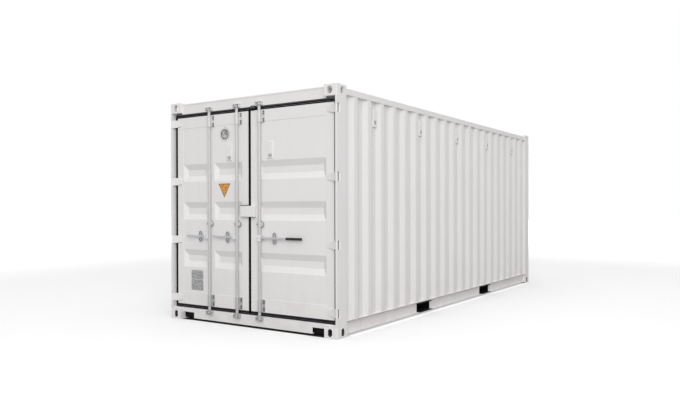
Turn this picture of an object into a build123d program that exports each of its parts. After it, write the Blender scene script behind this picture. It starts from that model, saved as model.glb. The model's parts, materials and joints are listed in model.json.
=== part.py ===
from build123d import *
from math import sqrt
import os

# A 20 ft dry freight container, in millimetres: Z is up, Y runs along its length, and the
# origin is on the ground under its middle. The doors face -Y.

os.makedirs("parts", exist_ok=True)

# Overall size
LENGTH = 6058.0
WIDTH = 2438.0
HEIGHT = 2591.0

# Corner castings
CASTING_LENGTH = 178.0
CASTING_WIDTH = 162.0
CASTING_HEIGHT = 118.0
CASTING_OUTER_WALL = 28.0
CASTING_INNER_WALL = 12.0
CASTING_BEVEL = 5.0
SLOT_LENGTH = 124.5
SLOT_WIDTH = 63.5
HOLE_CORNER = 0.29
SLOT_FROM_END = 102.5
SLOT_FROM_SIDE = 89.5
SIDE_HOLE_HEIGHT = 79.5
TOP_HOLE_WIDTH = 63.5
BOTTOM_HOLE_WIDTH = 51.0

# Corner posts
POST_WIDTH = 49.0
POST_WALL = 7.0
POST_FIN = 22.0

# Door way, header and sill
END_RECESS = 45.0
SILL_BOTTOM = 17.0
SILL_TOP = 135.0
SILL_PLATE = 6.0
SILL_CUT_HEIGHT = 68.0
SILL_CUT_LENGTH = 182.0
HEADER_DROP = 14.0
HEADER_DEPTH = 119.0
STOP_DEPTH = 105.0
STOP_HEIGHT = 24.0
STOP_WALL = 12.0

# Side rails and end rails
RAIL_BOTTOM = 25.0
RAIL_TOP = 157.0
RAIL_RECESS = 50.0
RAIL_WEB = 5.0
RAIL_FLANGE = 6.0
TOP_RAIL_SIZE = 60.0
TOP_RAIL_WALL = 4.0
TOP_RAIL_RECESS = 5.0

# Sheet walls
SHEET = 2.0
WALL_RECESS = 8.0
WALL_DEPTH = 36.0
WALL_PITCH = 279.5
WALL_FLAT = 72.0
WALL_SLOPE = 68.0
END_WALL_DEPTH = 45.0
END_WALL_PITCH = 250.0
END_WALL_FLAT = 72.0
END_WALL_SLOPE = 60.0

# Roof sheet
ROOF_DROP = 33.0
ROOF_END_PLATE = 4.0
ROOF_DEPTH = 20.0
ROOF_PITCH = 209.0
ROOF_CREST = 92.0
ROOF_SLOPE = 14.0
ROOF_MARGIN = 18.0

# Floor and understructure
FLOOR_THICKNESS = 28.0
FLOOR_RISE = 10.0
FLOOR_GAP = 6.0
BEAM_RISE = 3.0
BEAM_FLANGE = 45.0
BEAM_WALL = 4.5
BEAM_SPACING = 292.0
POCKET_CENTRE = 1025.0
POCKET_WIDTH = 360.0
POCKET_PLATE = 5.0
POCKET_STRAP = 200.0
WELD_GAP = 1.0

# Side vents
VENT_WIDTH = 62.0
VENT_HEIGHT = 195.0
VENT_DROP = 78.0
VENT_DEPTH = 20.0
VENT_RIM = 8.0
VENT_SILL = 30.0
VENT_WINDOW = 42.0
VENT_COUNT = 5
VENT_EVERY = 4

# Door leaves
LEAF_RECESS = 50.0
LEAF_DEPTH = 50.0
LEAF_BOTTOM_GAP = 45.0
LEAF_TOP_GAP = 43.0
LEAF_SIDE_GAP = 47.0
SEAM_CENTRE = 5.0
SEAM_HALF = 20.0
SEAM_SLIT = 12.0
GASKET_CLEARANCE = 5.0
GASKET_RECESS = 5.0
STILE_OUTER = 95.0
STILE_INNER = 90.0
STILE_WALL = 4.0
TOP_BAR = 130.0
BOTTOM_BAR = 145.0
PANEL_RECESS = 3.0
RIB_HEIGHT = 208.0
RIB_SLOPE = 68.0
RIB_END_SLOPE = 46.0
RIB_DEPTH = 34.0
RIB_SHARES = (0.208, 0.496, 0.7265)
RIB_PAD = 60.0
RIB_EDGE = 8.0

# Hinges
HINGE_INSET = 12.0
HINGE_FROM_BOTTOM = 75.0
HINGE_FROM_TOP = 67.0
HINGE_COUNT = 4
HINGE_HEIGHT = 89.0
HINGE_LUG = 14.0
HINGE_GAP = 1.0
HINGE_PIN_RADIUS = 7.0
HINGE_PLAY = 0.3
HINGE_NOTCH = 35.0
HINGE_NOTCH_BEVEL = 12.0
BLADE_REACH = 142.0
BLADE_TIP = 10.0
BLADE_THICK = 19.0
BLADE_SHANK = 48.0
BLADE_TAPER = 16.0

# Locking gear
ROD_RADIUS = 17.0
ROD_RECESS = 28.0
ROD_PLAY = 0.3
ROD_CENTRE_OUTER = -598.0
ROD_CENTRE_INNER = -166.0
ROD_CENTRE_RIGHT = 168.0
ROD_END_GAP = 10.0
CAM_SHANK = 18.0
CAM_REACH = 28.0
CAM_HEIGHT = 20.0
CAM_TRAVEL = 42.0
CAM_BEVEL = 7.0
KEEPER_GAP = 34.0
KEEPER_WALL = 9.0
KEEPER_DEPTH = 38.0
KEEPER_HEIGHT = 42.0
BRACKET_HEIGHT = 132.0
BRACKET_INSET = 75.0
BRACKET_WALL = 5.0
ARCH_CORNER = 12.0
STRAP_CORNER = 10.0
BRACKET_FLANGE_NEAR = 40.0
BRACKET_FLANGE_FAR = 62.0
GUIDE_RISE = 149.0
GUIDE_HEIGHT = 56.0
GUIDE_FLANGE = 52.0

# Handles
HANDLE_HEIGHT = 1000.0
HANDLE_PIVOT = 42.0
HANDLE_BOSS = 14.0
HANDLE_CORNER = 8.0
HANDLE_BAR = 20.0
HANDLE_THICK = 12.0
HANDLE_RECESS = 13.0
HANDLE_LENGTH = 325.0
LONG_HANDLE_LENGTH = 540.0
GRIP_LENGTH = 207.0
GRIP_HEIGHT = 28.0
GRIP_DEPTH = 24.0
GRIP_CORNER = 7.0
GRIP_CAP = 5.0
HANDLE_RISE = 8.0
HANDLE_STRAIGHT = 0.7
RIVET_RADIUS = 8.0
RIVET_HEAD = 4.0
HUB_HEIGHT = 44.0
HUB_CORNER = 12.0
CATCH_OFFSET = 150.0
CATCH_OFFSET_LONG = 207.0
CATCH_WIDTH = 50.0
CATCH_HEIGHT = 126.0
CATCH_CORNER = 15.0
CATCH_HOLE = 12.0
CATCH_SPREAD = 38.0
CATCH_PLATE = 8.0
CATCH_PRONG = 8.0
CATCH_GAP = 5.0
SEAT_GAP = 0.3

# Lock box over the seam
LOCK_BOTTOM = 1230.0
LOCK_HEIGHT = 125.0
LOCK_LEFT = 108.0
LOCK_RIGHT = 103.0
LOCK_LEFT_DEPTH = 36.0
LOCK_RIGHT_DEPTH = 44.0
LOCK_BEVEL = 6.0
LOCK_WALL = 4.0
LOCK_GAP = 6.0

# Door vent covers
COVER_WIDTH = 78.0
COVER_HEIGHT = 190.0
COVER_DROP = 543.0
COVER_DEPTH = 14.0
COVER_BEVEL = 5.0
COVER_RIM = 13.0
COVER_WINDOW = 36.0
COVER_WALL = 2.0
COVER_LEFT = -298.0
COVER_RIGHT = 307.0

# Places worked out from the sizes above
HALF_W = WIDTH / 2
HALF_L = LENGTH / 2
CASTING_X = HALF_W - CASTING_WIDTH
CASTING_Y = HALF_L - CASTING_LENGTH
UPPER_Z = HEIGHT - CASTING_HEIGHT
SLOT_X = HALF_W - SLOT_FROM_SIDE
SLOT_Y = HALF_L - SLOT_FROM_END
POST_X = HALF_W - POST_WIDTH
FIN_X = HALF_W - POST_FIN
END_Y = -HALF_L + END_RECESS
STOP_Y = -HALF_L + STOP_DEPTH
LEAF_Y = -HALF_L + LEAF_RECESS
LEAF_BACK = LEAF_Y + LEAF_DEPTH
LEAF_X = FIN_X - LEAF_SIDE_GAP
PIVOT_X = HALF_W - HINGE_INSET
PIVOT_Y = -HALF_L + HINGE_INSET
ROD_Y = -HALF_L + ROD_RECESS
HANDLE_Y = -HALF_L + HANDLE_RECESS
RAIL_X = HALF_W - RAIL_RECESS
RAIL_Y = HALF_L - RAIL_RECESS
WALL_X = HALF_W - WALL_RECESS
WALL_Y = HALF_L - WALL_RECESS
ROOF_Z = HEIGHT - ROOF_DROP
TOP_RAIL_BOTTOM = ROOF_Z - TOP_RAIL_SIZE
HEADER_TOP = HEIGHT - HEADER_DROP
HEADER_BOTTOM = HEADER_TOP - HEADER_DEPTH
FLOOR_TOP = RAIL_TOP + FLOOR_RISE
BEAM_TOP = FLOOR_TOP - FLOOR_THICKNESS
BEAM_BOTTOM = RAIL_BOTTOM + BEAM_RISE
VENT_TOP = TOP_RAIL_BOTTOM - VENT_DROP
LEAF_TOP = HEADER_BOTTOM - LEAF_TOP_GAP
LEAF_BOTTOM = SILL_TOP + LEAF_BOTTOM_GAP
PANEL_LOW = LEAF_BOTTOM + BOTTOM_BAR
PANEL_HIGH = LEAF_TOP - TOP_BAR
RIB_CENTRES = [PANEL_LOW + share * (PANEL_HIGH - PANEL_LOW) for share in RIB_SHARES]
HINGE_LOW = LEAF_BOTTOM + HINGE_FROM_BOTTOM
HINGE_STEP = (LEAF_TOP - HINGE_FROM_TOP - HINGE_LOW) / (HINGE_COUNT - 1)
HINGE_CENTRES = [HINGE_LOW + number * HINGE_STEP for number in range(HINGE_COUNT)]
ROD_CENTRES_LEFT = (ROD_CENTRE_OUTER, ROD_CENTRE_INNER)
ROD_BOTTOM = SILL_TOP + ROD_END_GAP
ROD_TOP = HEADER_BOTTOM - ROD_END_GAP
COVER_BOTTOM = LEAF_TOP - COVER_DROP
FLOOR_HALF = POST_X - FLOOR_GAP
TOP_RAIL_X = HALF_W - TOP_RAIL_RECESS - TOP_RAIL_SIZE
TOP_RAIL_Y = HALF_L - TOP_RAIL_RECESS - TOP_RAIL_SIZE
FAR = LENGTH


def block(x0, x1, y0, y1, z0, z1):
    """A box between two corners."""
    size = Box(abs(x1 - x0), abs(y1 - y0), abs(z1 - z0))
    return Pos((x0 + x1) / 2, (y0 + y1) / 2, (z0 + z1) / 2) * size


def outline(points):
    """A flat face inside a closed run of straight lines."""
    return make_face(Polyline(*points, close=True).edges())


def along_x(points, x0, x1):
    """Points are (y, z), drawn out from x0 to x1."""
    return Pos(x0, 0, 0) * extrude(Plane.YZ * outline(points), amount=x1 - x0)


def along_y(points, y0, y1):
    """Points are (x, z), drawn out from y0 to y1."""
    return Pos(0, y1, 0) * extrude(Plane.XZ * outline(points), amount=y1 - y0)


def along_z(points, z0, z1):
    """Points are (x, y), drawn out from z0 to z1."""
    return Pos(0, 0, z0) * extrude(Plane.XY * outline(points), amount=z1 - z0)


def upright(x, y, radius, z0, z1):
    """A round bar that stands upright."""
    return Pos(x, y, (z0 + z1) / 2) * Cylinder(radius, z1 - z0)


def level(x, z, radius, y0, y1):
    """A round bar that points along the container."""
    return Pos(x, (y0 + y1) / 2, z) * Rot(90, 0, 0) * Cylinder(radius, y1 - y0)


def left_right(shape):
    """The shape and its mirror image across the middle of the width."""
    return [shape, mirror(shape, about=Plane.YZ)]


def write(name, *shapes):
    """One file for a node, with one or more solids that don't touch."""
    solids = [solid for shape in shapes for solid in shape.solids()]
    export_step(Compound(children=solids), f"parts/{name}.step")


# Corner castings
def lock_slot(depth):
    """The long hole with round ends that a twist lock turns in."""
    return extrude(SlotOverall(SLOT_LENGTH, SLOT_WIDTH), amount=depth, both=True)


def lashing_hole(width, depth):
    """The upright hole of a side or an end, with its corners cut off."""
    hole = chamfer(Rectangle(SIDE_HOLE_HEIGHT, width).vertices(), width * HOLE_CORNER)
    return extrude(hole, amount=depth, both=True)


def corner_casting(is_top):
    """A hollow corner block with a hole in its top or bottom, its side and its end."""
    base = UPPER_Z if is_top else 0.0
    middle = base + CASTING_HEIGHT / 2
    body = block(CASTING_X, HALF_W, CASTING_Y, HALF_L, base, base + CASTING_HEIGHT)
    edges = body.edges().filter_by(Axis.Z).sort_by(Axis.X)[-2:].sort_by(Axis.Y)[-1:]
    body = chamfer(edges, CASTING_BEVEL)
    floor_wall = CASTING_INNER_WALL if is_top else CASTING_OUTER_WALL
    roof_wall = CASTING_OUTER_WALL if is_top else CASTING_INNER_WALL
    body -= block(
        CASTING_X + CASTING_INNER_WALL,
        HALF_W - CASTING_OUTER_WALL,
        CASTING_Y + CASTING_INNER_WALL,
        HALF_L - CASTING_OUTER_WALL,
        base + floor_wall,
        base + CASTING_HEIGHT - roof_wall,
    )
    face = HEIGHT if is_top else 0.0
    hole = TOP_HOLE_WIDTH if is_top else BOTTOM_HOLE_WIDTH
    wall = CASTING_OUTER_WALL + CASTING_BEVEL
    body -= Pos(SLOT_X, SLOT_Y, face) * Rot(0, 0, 90) * lock_slot(wall)
    body -= Pos(SLOT_X, HALF_L, middle) * Rot(90, 0, 0) * Rot(0, 0, 90) * lashing_hole(hole, wall)
    return body - Pos(HALF_W, SLOT_Y, middle) * Rot(0, 90, 0) * lashing_hole(hole, wall)


# Corner posts
def lug_plan():
    """Plan of a lug, which fills the room for a hinge up to the faces of the post."""
    rear = PIVOT_Y + HINGE_NOTCH
    return [
        (FIN_X, -HALF_L),
        (HALF_W, -HALF_L),
        (HALF_W, rear + HINGE_NOTCH_BEVEL),
        (HALF_W - HINGE_NOTCH_BEVEL, rear),
        (FIN_X, rear),
    ]


def door_post():
    """The right door post: a hollow box with a thick front edge, notched at each hinge."""
    post = along_z(
        [
            (FIN_X, -HALF_L),
            (HALF_W, -HALF_L),
            (HALF_W, -CASTING_Y),
            (POST_X, -CASTING_Y),
            (POST_X, STOP_Y),
            (FIN_X, STOP_Y),
        ],
        CASTING_HEIGHT,
        UPPER_Z,
    )
    post -= block(
        POST_X + POST_WALL,
        HALF_W - POST_WALL,
        STOP_Y + POST_WALL,
        -CASTING_Y - POST_WALL,
        CASTING_HEIGHT,
        UPPER_Z,
    )
    half = HINGE_HEIGHT / 2 + HINGE_GAP + HINGE_LUG
    for z in HINGE_CENTRES:
        post -= along_z(lug_plan(), z - half, z + half)
    return post


def hinge_lugs():
    """At each hinge of the right post, a lug above and one below, with the pin between."""
    lugs = []
    inner = HINGE_HEIGHT / 2 + HINGE_GAP
    for z in HINGE_CENTRES:
        pin = inner + HINGE_LUG / 2
        spool = upright(PIVOT_X, PIVOT_Y, HINGE_PIN_RADIUS, z - pin, z + pin)
        for low in (z - inner - HINGE_LUG, z + inner):
            spool += along_z(lug_plan(), low, low + HINGE_LUG)
        lugs.append(spool)
    return lugs


def closed_post():
    """The right post at the closed end, a hollow box."""
    post = block(POST_X, HALF_W, CASTING_Y, HALF_L, CASTING_HEIGHT, UPPER_Z)
    return post - block(
        POST_X + POST_WALL,
        HALF_W - POST_WALL,
        CASTING_Y + POST_WALL,
        HALF_L - POST_WALL,
        CASTING_HEIGHT,
        UPPER_Z,
    )


# Header and sill
def door_header():
    """The hollow beam over the doors, from casting to casting."""
    header = block(-CASTING_X, CASTING_X, END_Y, STOP_Y, HEADER_BOTTOM, HEADER_TOP)
    return header - block(
        -CASTING_X,
        CASTING_X,
        END_Y + SILL_PLATE,
        STOP_Y - SILL_PLATE,
        HEADER_BOTTOM + SILL_PLATE,
        HEADER_TOP - SILL_PLATE,
    )


def door_sill():
    """The beam under the doors: a channel that opens inwards, cut open beside the castings."""
    beam = along_x(
        [
            (END_Y, SILL_BOTTOM),
            (STOP_Y, SILL_BOTTOM),
            (STOP_Y, SILL_BOTTOM + SILL_PLATE),
            (END_Y + SILL_PLATE, SILL_BOTTOM + SILL_PLATE),
            (END_Y + SILL_PLATE, SILL_TOP - SILL_PLATE),
            (STOP_Y, SILL_TOP - SILL_PLATE),
            (STOP_Y, SILL_TOP),
            (END_Y, SILL_TOP),
        ],
        -CASTING_X,
        CASTING_X,
    )
    near = CASTING_X - SILL_CUT_LENGTH
    cut_top = SILL_BOTTOM + SILL_CUT_HEIGHT
    return beam - left_right(block(near, CASTING_X, END_Y, STOP_Y, SILL_BOTTOM, cut_top))


def sill_ends():
    """The blocks that carry the sill on over the castings to the door posts."""
    start = CASTING_X + WELD_GAP
    return left_right(block(start, FIN_X, END_Y, STOP_Y, CASTING_HEIGHT, SILL_TOP))


def door_stops():
    """The plates behind header and sill that the closed leaves press on, from post to post."""
    rear = STOP_Y + STOP_WALL
    return [
        block(-POST_X, POST_X, STOP_Y, rear, HEADER_BOTTOM - STOP_HEIGHT, UPPER_Z),
        block(-POST_X, POST_X, STOP_Y, rear, CASTING_HEIGHT, SILL_TOP + STOP_HEIGHT),
    ]


# Rails
def channel_plan(web, out, low, high):
    """Section of a channel that opens outwards from its web."""
    return [
        (web, low),
        (out, low),
        (out, low + RAIL_FLANGE),
        (web + RAIL_WEB, low + RAIL_FLANGE),
        (web + RAIL_WEB, high - RAIL_FLANGE),
        (out, high - RAIL_FLANGE),
        (out, high),
        (web, high),
    ]


def bottom_side_rail():
    """The right bottom rail: three runs of channel with the fork pockets between them."""
    points = channel_plan(RAIL_X, HALF_W - TOP_RAIL_RECESS, RAIL_BOTTOM, RAIL_TOP)
    near = POCKET_CENTRE - POCKET_WIDTH / 2
    far = POCKET_CENTRE + POCKET_WIDTH / 2
    return [
        along_y(points, -CASTING_Y, -far),
        along_y(points, -near, near),
        along_y(points, far, CASTING_Y),
    ]


def pocket_bridges():
    """A bar over each right pocket and a strap under it, which join the runs of the rail."""
    out = HALF_W - TOP_RAIL_RECESS
    half = POCKET_WIDTH / 2
    top = channel_plan(RAIL_X, out, BEAM_TOP - POCKET_PLATE, RAIL_TOP)
    bridges = []
    for y in (-POCKET_CENTRE, POCKET_CENTRE):
        bridges.append(along_y(top, y - half, y + half))
        bridges.append(
            block(RAIL_X, out, y - half, y + half, RAIL_BOTTOM, BEAM_BOTTOM + POCKET_PLATE)
        )
    return bridges


def closed_bottom_rail():
    """The bottom rail of the closed end, with an angle over each casting up to the post."""
    out = HALF_L - TOP_RAIL_RECESS
    start = CASTING_X + WELD_GAP
    ledge = [
        (RAIL_Y, CASTING_HEIGHT),
        (RAIL_Y + RAIL_WEB, CASTING_HEIGHT),
        (RAIL_Y + RAIL_WEB, RAIL_TOP - RAIL_FLANGE),
        (out, RAIL_TOP - RAIL_FLANGE),
        (out, RAIL_TOP),
        (RAIL_Y, RAIL_TOP),
    ]
    rail = along_x(channel_plan(RAIL_Y, out, RAIL_BOTTOM, RAIL_TOP), -CASTING_X, CASTING_X)
    return [rail, along_x(ledge, start, POST_X), along_x(ledge, -POST_X, -start)]


def top_side_rail():
    """The right top rail, a square tube between the castings."""
    rail = block(
        TOP_RAIL_X, TOP_RAIL_X + TOP_RAIL_SIZE, -CASTING_Y, CASTING_Y, TOP_RAIL_BOTTOM, ROOF_Z
    )
    return rail - block(
        TOP_RAIL_X + TOP_RAIL_WALL,
        TOP_RAIL_X + TOP_RAIL_SIZE - TOP_RAIL_WALL,
        -CASTING_Y,
        CASTING_Y,
        TOP_RAIL_BOTTOM + TOP_RAIL_WALL,
        ROOF_Z - TOP_RAIL_WALL,
    )


def closed_top_rail():
    """The top rail of the closed end, a tube from casting to casting."""
    outer = TOP_RAIL_Y + TOP_RAIL_SIZE
    rail = block(-CASTING_X, CASTING_X, TOP_RAIL_Y, outer, UPPER_Z, ROOF_Z)
    return rail - block(
        -CASTING_X,
        CASTING_X,
        TOP_RAIL_Y + TOP_RAIL_WALL,
        outer - TOP_RAIL_WALL,
        UPPER_Z + TOP_RAIL_WALL,
        ROOF_Z - TOP_RAIL_WALL,
    )


# Walls and roof
def pressed_line(half_length, pitch, flat, slope, depth):
    """Corners (along, inwards) of a sheet pressed in waves, with a trough in the middle."""
    trough = pitch - flat - 2 * slope
    count = int(half_length // pitch) + 2
    corners = []
    for number in range(-count, count + 1):
        centre = number * pitch
        corners.append((centre - trough / 2 - slope, 0.0))
        corners.append((centre - trough / 2, depth))
        corners.append((centre + trough / 2, depth))
        corners.append((centre + trough / 2 + slope, 0.0))
    kept = []
    for (a0, d0), (a1, d1) in zip(corners, corners[1:]):
        if a1 <= -half_length or a0 >= half_length:
            continue
        start = max(a0, -half_length)
        stop = min(a1, half_length)
        rise = (d1 - d0) / (a1 - a0)
        if not kept:
            kept.append((start, d0 + rise * (start - a0)))
        kept.append((stop, d0 + rise * (stop - a0)))
    return kept


def side_wall():
    """The right wall, one sheet pressed in upright waves."""
    line = pressed_line(CASTING_Y, WALL_PITCH, WALL_FLAT, WALL_SLOPE, WALL_DEPTH)
    outer = [(WALL_X - inwards, along) for along, inwards in line]
    inner = [(x - SHEET, y) for x, y in reversed(outer)]
    return along_z(outer + inner, RAIL_TOP, TOP_RAIL_BOTTOM)


def closed_wall():
    """The wall of the closed end, pressed in deeper waves."""
    line = pressed_line(POST_X, END_WALL_PITCH, END_WALL_FLAT, END_WALL_SLOPE, END_WALL_DEPTH)
    outer = [(along, WALL_Y - inwards) for along, inwards in line]
    inner = [(x, y - SHEET) for x, y in reversed(outer)]
    return along_z(outer + inner, RAIL_TOP, UPPER_Z)


def frustum(length, width, end_slope, side_slope, height):
    """A low block whose four sides lean in, standing on the XY plane."""
    half = length / 2
    side = width / 2
    crest = half - end_slope
    ridge = side - side_slope
    long_way = along_y([(-half, 0), (half, 0), (crest, height), (-crest, height)], -side, side)
    return long_way & along_x([(-side, 0), (side, 0), (ridge, height), (-ridge, height)], -half, half)


def roof():
    """The roof sheet, with crests pressed up across it."""
    half_x = TOP_RAIL_X + TOP_RAIL_SIZE
    sheet = block(-half_x, half_x, -CASTING_Y, CASTING_Y, ROOF_Z, ROOF_Z + SHEET)
    crest = frustum(
        2 * (CASTING_X - ROOF_MARGIN),
        ROOF_CREST + 2 * ROOF_SLOPE,
        ROOF_SLOPE,
        ROOF_SLOPE,
        ROOF_DEPTH,
    )
    room = 2 * CASTING_Y - 2 * ROOF_MARGIN
    count = int(room // ROOF_PITCH)
    for number in range(count):
        y = (number - (count - 1) / 2) * ROOF_PITCH
        sheet += Pos(0, y, ROOF_Z + SHEET) * crest
        sheet -= Pos(0, y, ROOF_Z) * crest
    return sheet


def roof_end_plates():
    """The thicker plates between the top castings, one at each end of the roof sheet."""
    high = ROOF_Z + ROOF_END_PLATE
    return [
        block(-CASTING_X, CASTING_X, STOP_Y, -CASTING_Y, ROOF_Z, high),
        block(-CASTING_X, CASTING_X, CASTING_Y, TOP_RAIL_Y + TOP_RAIL_SIZE, ROOF_Z, high),
    ]


# Floor and understructure
def floor():
    """The floor board, from the sill to the closed end."""
    back = STOP_Y + STOP_WALL
    front = WALL_Y - END_WALL_DEPTH - SHEET - FLOOR_GAP
    return block(-FLOOR_HALF, FLOOR_HALF, back, front, BEAM_TOP, FLOOR_TOP)


def crossmembers():
    """Channels that carry the floor from rail to rail, left out where the pockets are."""
    beams = []
    count = int((CASTING_Y - BEAM_FLANGE) // BEAM_SPACING)
    for number in range(-count, count + 1):
        y = number * BEAM_SPACING
        clear = POCKET_WIDTH / 2 + POCKET_PLATE + BEAM_FLANGE
        if abs(abs(y) - POCKET_CENTRE) < clear:
            continue
        points = [
            (y, BEAM_BOTTOM),
            (y + BEAM_FLANGE, BEAM_BOTTOM),
            (y + BEAM_FLANGE, BEAM_BOTTOM + BEAM_WALL),
            (y + BEAM_WALL, BEAM_BOTTOM + BEAM_WALL),
            (y + BEAM_WALL, BEAM_TOP - BEAM_WALL),
            (y + BEAM_FLANGE, BEAM_TOP - BEAM_WALL),
            (y + BEAM_FLANGE, BEAM_TOP),
            (y, BEAM_TOP),
        ]
        beams.append(along_x(points, -RAIL_X, RAIL_X))
    return beams


def fork_pocket_sides():
    """The upright plates on either side of each tunnel for fork tines."""
    half = POCKET_WIDTH / 2
    plates = []
    for y in (-POCKET_CENTRE, POCKET_CENTRE):
        for edge in (y - half - POCKET_PLATE, y + half):
            plates.append(block(-RAIL_X, RAIL_X, edge, edge + POCKET_PLATE, BEAM_BOTTOM, BEAM_TOP))
    return plates


def fork_pocket_plates():
    """The plate over each tunnel, and a strap under each of its ends."""
    half = POCKET_WIDTH / 2
    reach = RAIL_X - POCKET_STRAP
    plates = []
    for y in (-POCKET_CENTRE, POCKET_CENTRE):
        near = y - half
        far = y + half
        plates.append(block(-RAIL_X, RAIL_X, near, far, BEAM_TOP - POCKET_PLATE, BEAM_TOP))
        strap = block(reach, RAIL_X, near, far, BEAM_BOTTOM, BEAM_BOTTOM + POCKET_PLATE)
        plates += left_right(strap)
    return plates


def side_vents():
    """Small boxes in the troughs of the right wall, open at the bottom and in a window."""
    face = WALL_X - WALL_DEPTH
    vents = []
    for number in range(VENT_COUNT):
        y = (number - (VENT_COUNT - 1) / 2) * VENT_EVERY * WALL_PITCH
        half = VENT_WIDTH / 2
        vent = block(face, face + VENT_DEPTH, y - half, y + half, VENT_TOP - VENT_HEIGHT, VENT_TOP)
        vent -= block(
            face,
            face + VENT_DEPTH - SHEET,
            y - half + SHEET,
            y + half - SHEET,
            0,
            VENT_TOP - SHEET,
        )
        inset = half - VENT_RIM
        low = VENT_TOP - VENT_HEIGHT + VENT_SILL
        vent -= block(face, face + VENT_DEPTH, y - inset, y + inset, low, low + VENT_WINDOW)
        vents.append(vent)
    return vents


# Door leaves: x0 is the seam edge and x1 the hinge edge, both positive on the right leaf.
def leaf_frame(x0, x1):
    """Two upright tubes and two channels, welded into a frame."""
    side = 1 if x1 > x0 else -1
    inner = x0 + side * STILE_INNER
    outer = x1 - side * STILE_OUTER
    frame = block(inner, outer, LEAF_Y, LEAF_BACK, LEAF_TOP - TOP_BAR, LEAF_TOP)
    frame -= block(
        inner,
        outer,
        LEAF_Y + STILE_WALL,
        LEAF_BACK,
        LEAF_TOP - TOP_BAR + STILE_WALL,
        LEAF_TOP - STILE_WALL,
    )
    bottom = block(inner, outer, LEAF_Y, LEAF_BACK, LEAF_BOTTOM, LEAF_BOTTOM + BOTTOM_BAR)
    bottom -= block(
        inner,
        outer,
        LEAF_Y + STILE_WALL,
        LEAF_BACK,
        LEAF_BOTTOM + STILE_WALL,
        LEAF_BOTTOM + BOTTOM_BAR - STILE_WALL,
    )
    frame += bottom
    for a, b in ((x0, inner), (outer, x1)):
        tube = block(a, b, LEAF_Y, LEAF_BACK, LEAF_BOTTOM, LEAF_TOP)
        low, high = sorted((a, b))
        tube -= block(
            low + STILE_WALL,
            high - STILE_WALL,
            LEAF_Y + STILE_WALL,
            LEAF_BACK - STILE_WALL,
            LEAF_BOTTOM,
            LEAF_TOP,
        )
        frame += tube
    return frame


def rib_spans(x0, x1, rods):
    """Where the pressed ribs run between the seam edge, the pads behind the rods and the hinge."""
    side = 1 if x1 > x0 else -1
    start = x0 + side * (STILE_INNER + RIB_EDGE)
    end = x1 - side * (STILE_OUTER + RIB_EDGE)
    spans = []
    for rod in sorted(rods, key=abs):
        if abs(rod - start) > 2 * RIB_PAD:
            spans.append((start, rod - side * RIB_PAD))
            start = rod + side * RIB_PAD
    spans.append((start, end))
    return spans


def leaf_panel(x0, x1, rods):
    """The pressed sheet of a leaf, with three level ribs pushed in."""
    side = 1 if x1 > x0 else -1
    inner = x0 + side * STILE_INNER
    outer = x1 - side * STILE_OUTER
    face = LEAF_Y + PANEL_RECESS
    sheet = block(
        inner, outer, face, face + SHEET, LEAF_BOTTOM + BOTTOM_BAR, LEAF_TOP - TOP_BAR
    )
    for z in RIB_CENTRES:
        for a, b in rib_spans(x0, x1, rods):
            slope = min(RIB_END_SLOPE, abs(b - a) / 3)
            rib = Rot(-90, 0, 0) * frustum(abs(b - a), RIB_HEIGHT, slope, RIB_SLOPE, RIB_DEPTH)
            sheet += Pos((a + b) / 2, face + SHEET, z) * rib
            sheet -= Pos((a + b) / 2, face, z) * rib
    return sheet


def leaf_gasket(x0, x1):
    """The rubber round a leaf, which fills most of the gap to the door way."""
    side = 1 if x1 > x0 else -1
    seam = SEAM_CENTRE + side * SEAM_SLIT / 2
    hinge = side * (FIN_X - GASKET_CLEARANCE)
    low = SILL_TOP + GASKET_CLEARANCE
    high = HEADER_BOTTOM - GASKET_CLEARANCE
    ring = block(seam, hinge, LEAF_Y + GASKET_RECESS, LEAF_BACK, low, high)
    return ring - block(x0, x1, -FAR, FAR, LEAF_BOTTOM, LEAF_TOP)


def hinge_blades():
    """Four forged blades on the right leaf, each with its eye round the pin."""
    eye = HINGE_INSET
    half = HINGE_HEIGHT / 2
    tip = HALF_W - BLADE_REACH
    plan = [
        (PIVOT_X, PIVOT_Y - eye),
        (PIVOT_X, PIVOT_Y + eye),
        (PIVOT_X - BLADE_SHANK, LEAF_Y),
        (tip, LEAF_Y),
        (tip, LEAF_Y - BLADE_TIP),
        (LEAF_X, LEAF_Y - BLADE_THICK),
    ]
    blades = []
    for z in HINGE_CENTRES:
        front = [
            (PIVOT_X, z - half),
            (PIVOT_X, z + half),
            (LEAF_X, z + half),
            (tip, z + half - BLADE_TAPER),
            (tip, z - half + BLADE_TAPER),
            (LEAF_X, z - half),
        ]
        blade = along_z(plan, z - half, z + half) & along_y(front, -HALF_L, LEAF_Y)
        blade += upright(PIVOT_X, PIVOT_Y, eye, z - half, z + half)
        bore = HINGE_PIN_RADIUS + HINGE_PLAY
        blade -= upright(PIVOT_X, PIVOT_Y, bore, z - HINGE_HEIGHT, z + HINGE_HEIGHT)
        blades.append(blade)
    return blades


# Locking gear: side is -1 where the handle points left and 1 where it points right.
def arch_plan(x, half, corner, seat):
    """Plan of an arch over the rod at x, half its width from the rod's axis on three sides."""
    front = ROD_Y - half
    return [
        (x - half, seat),
        (x - half, front + corner),
        (x - half + corner, front),
        (x + half - corner, front),
        (x + half, front + corner),
        (x + half, seat),
    ]


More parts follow.
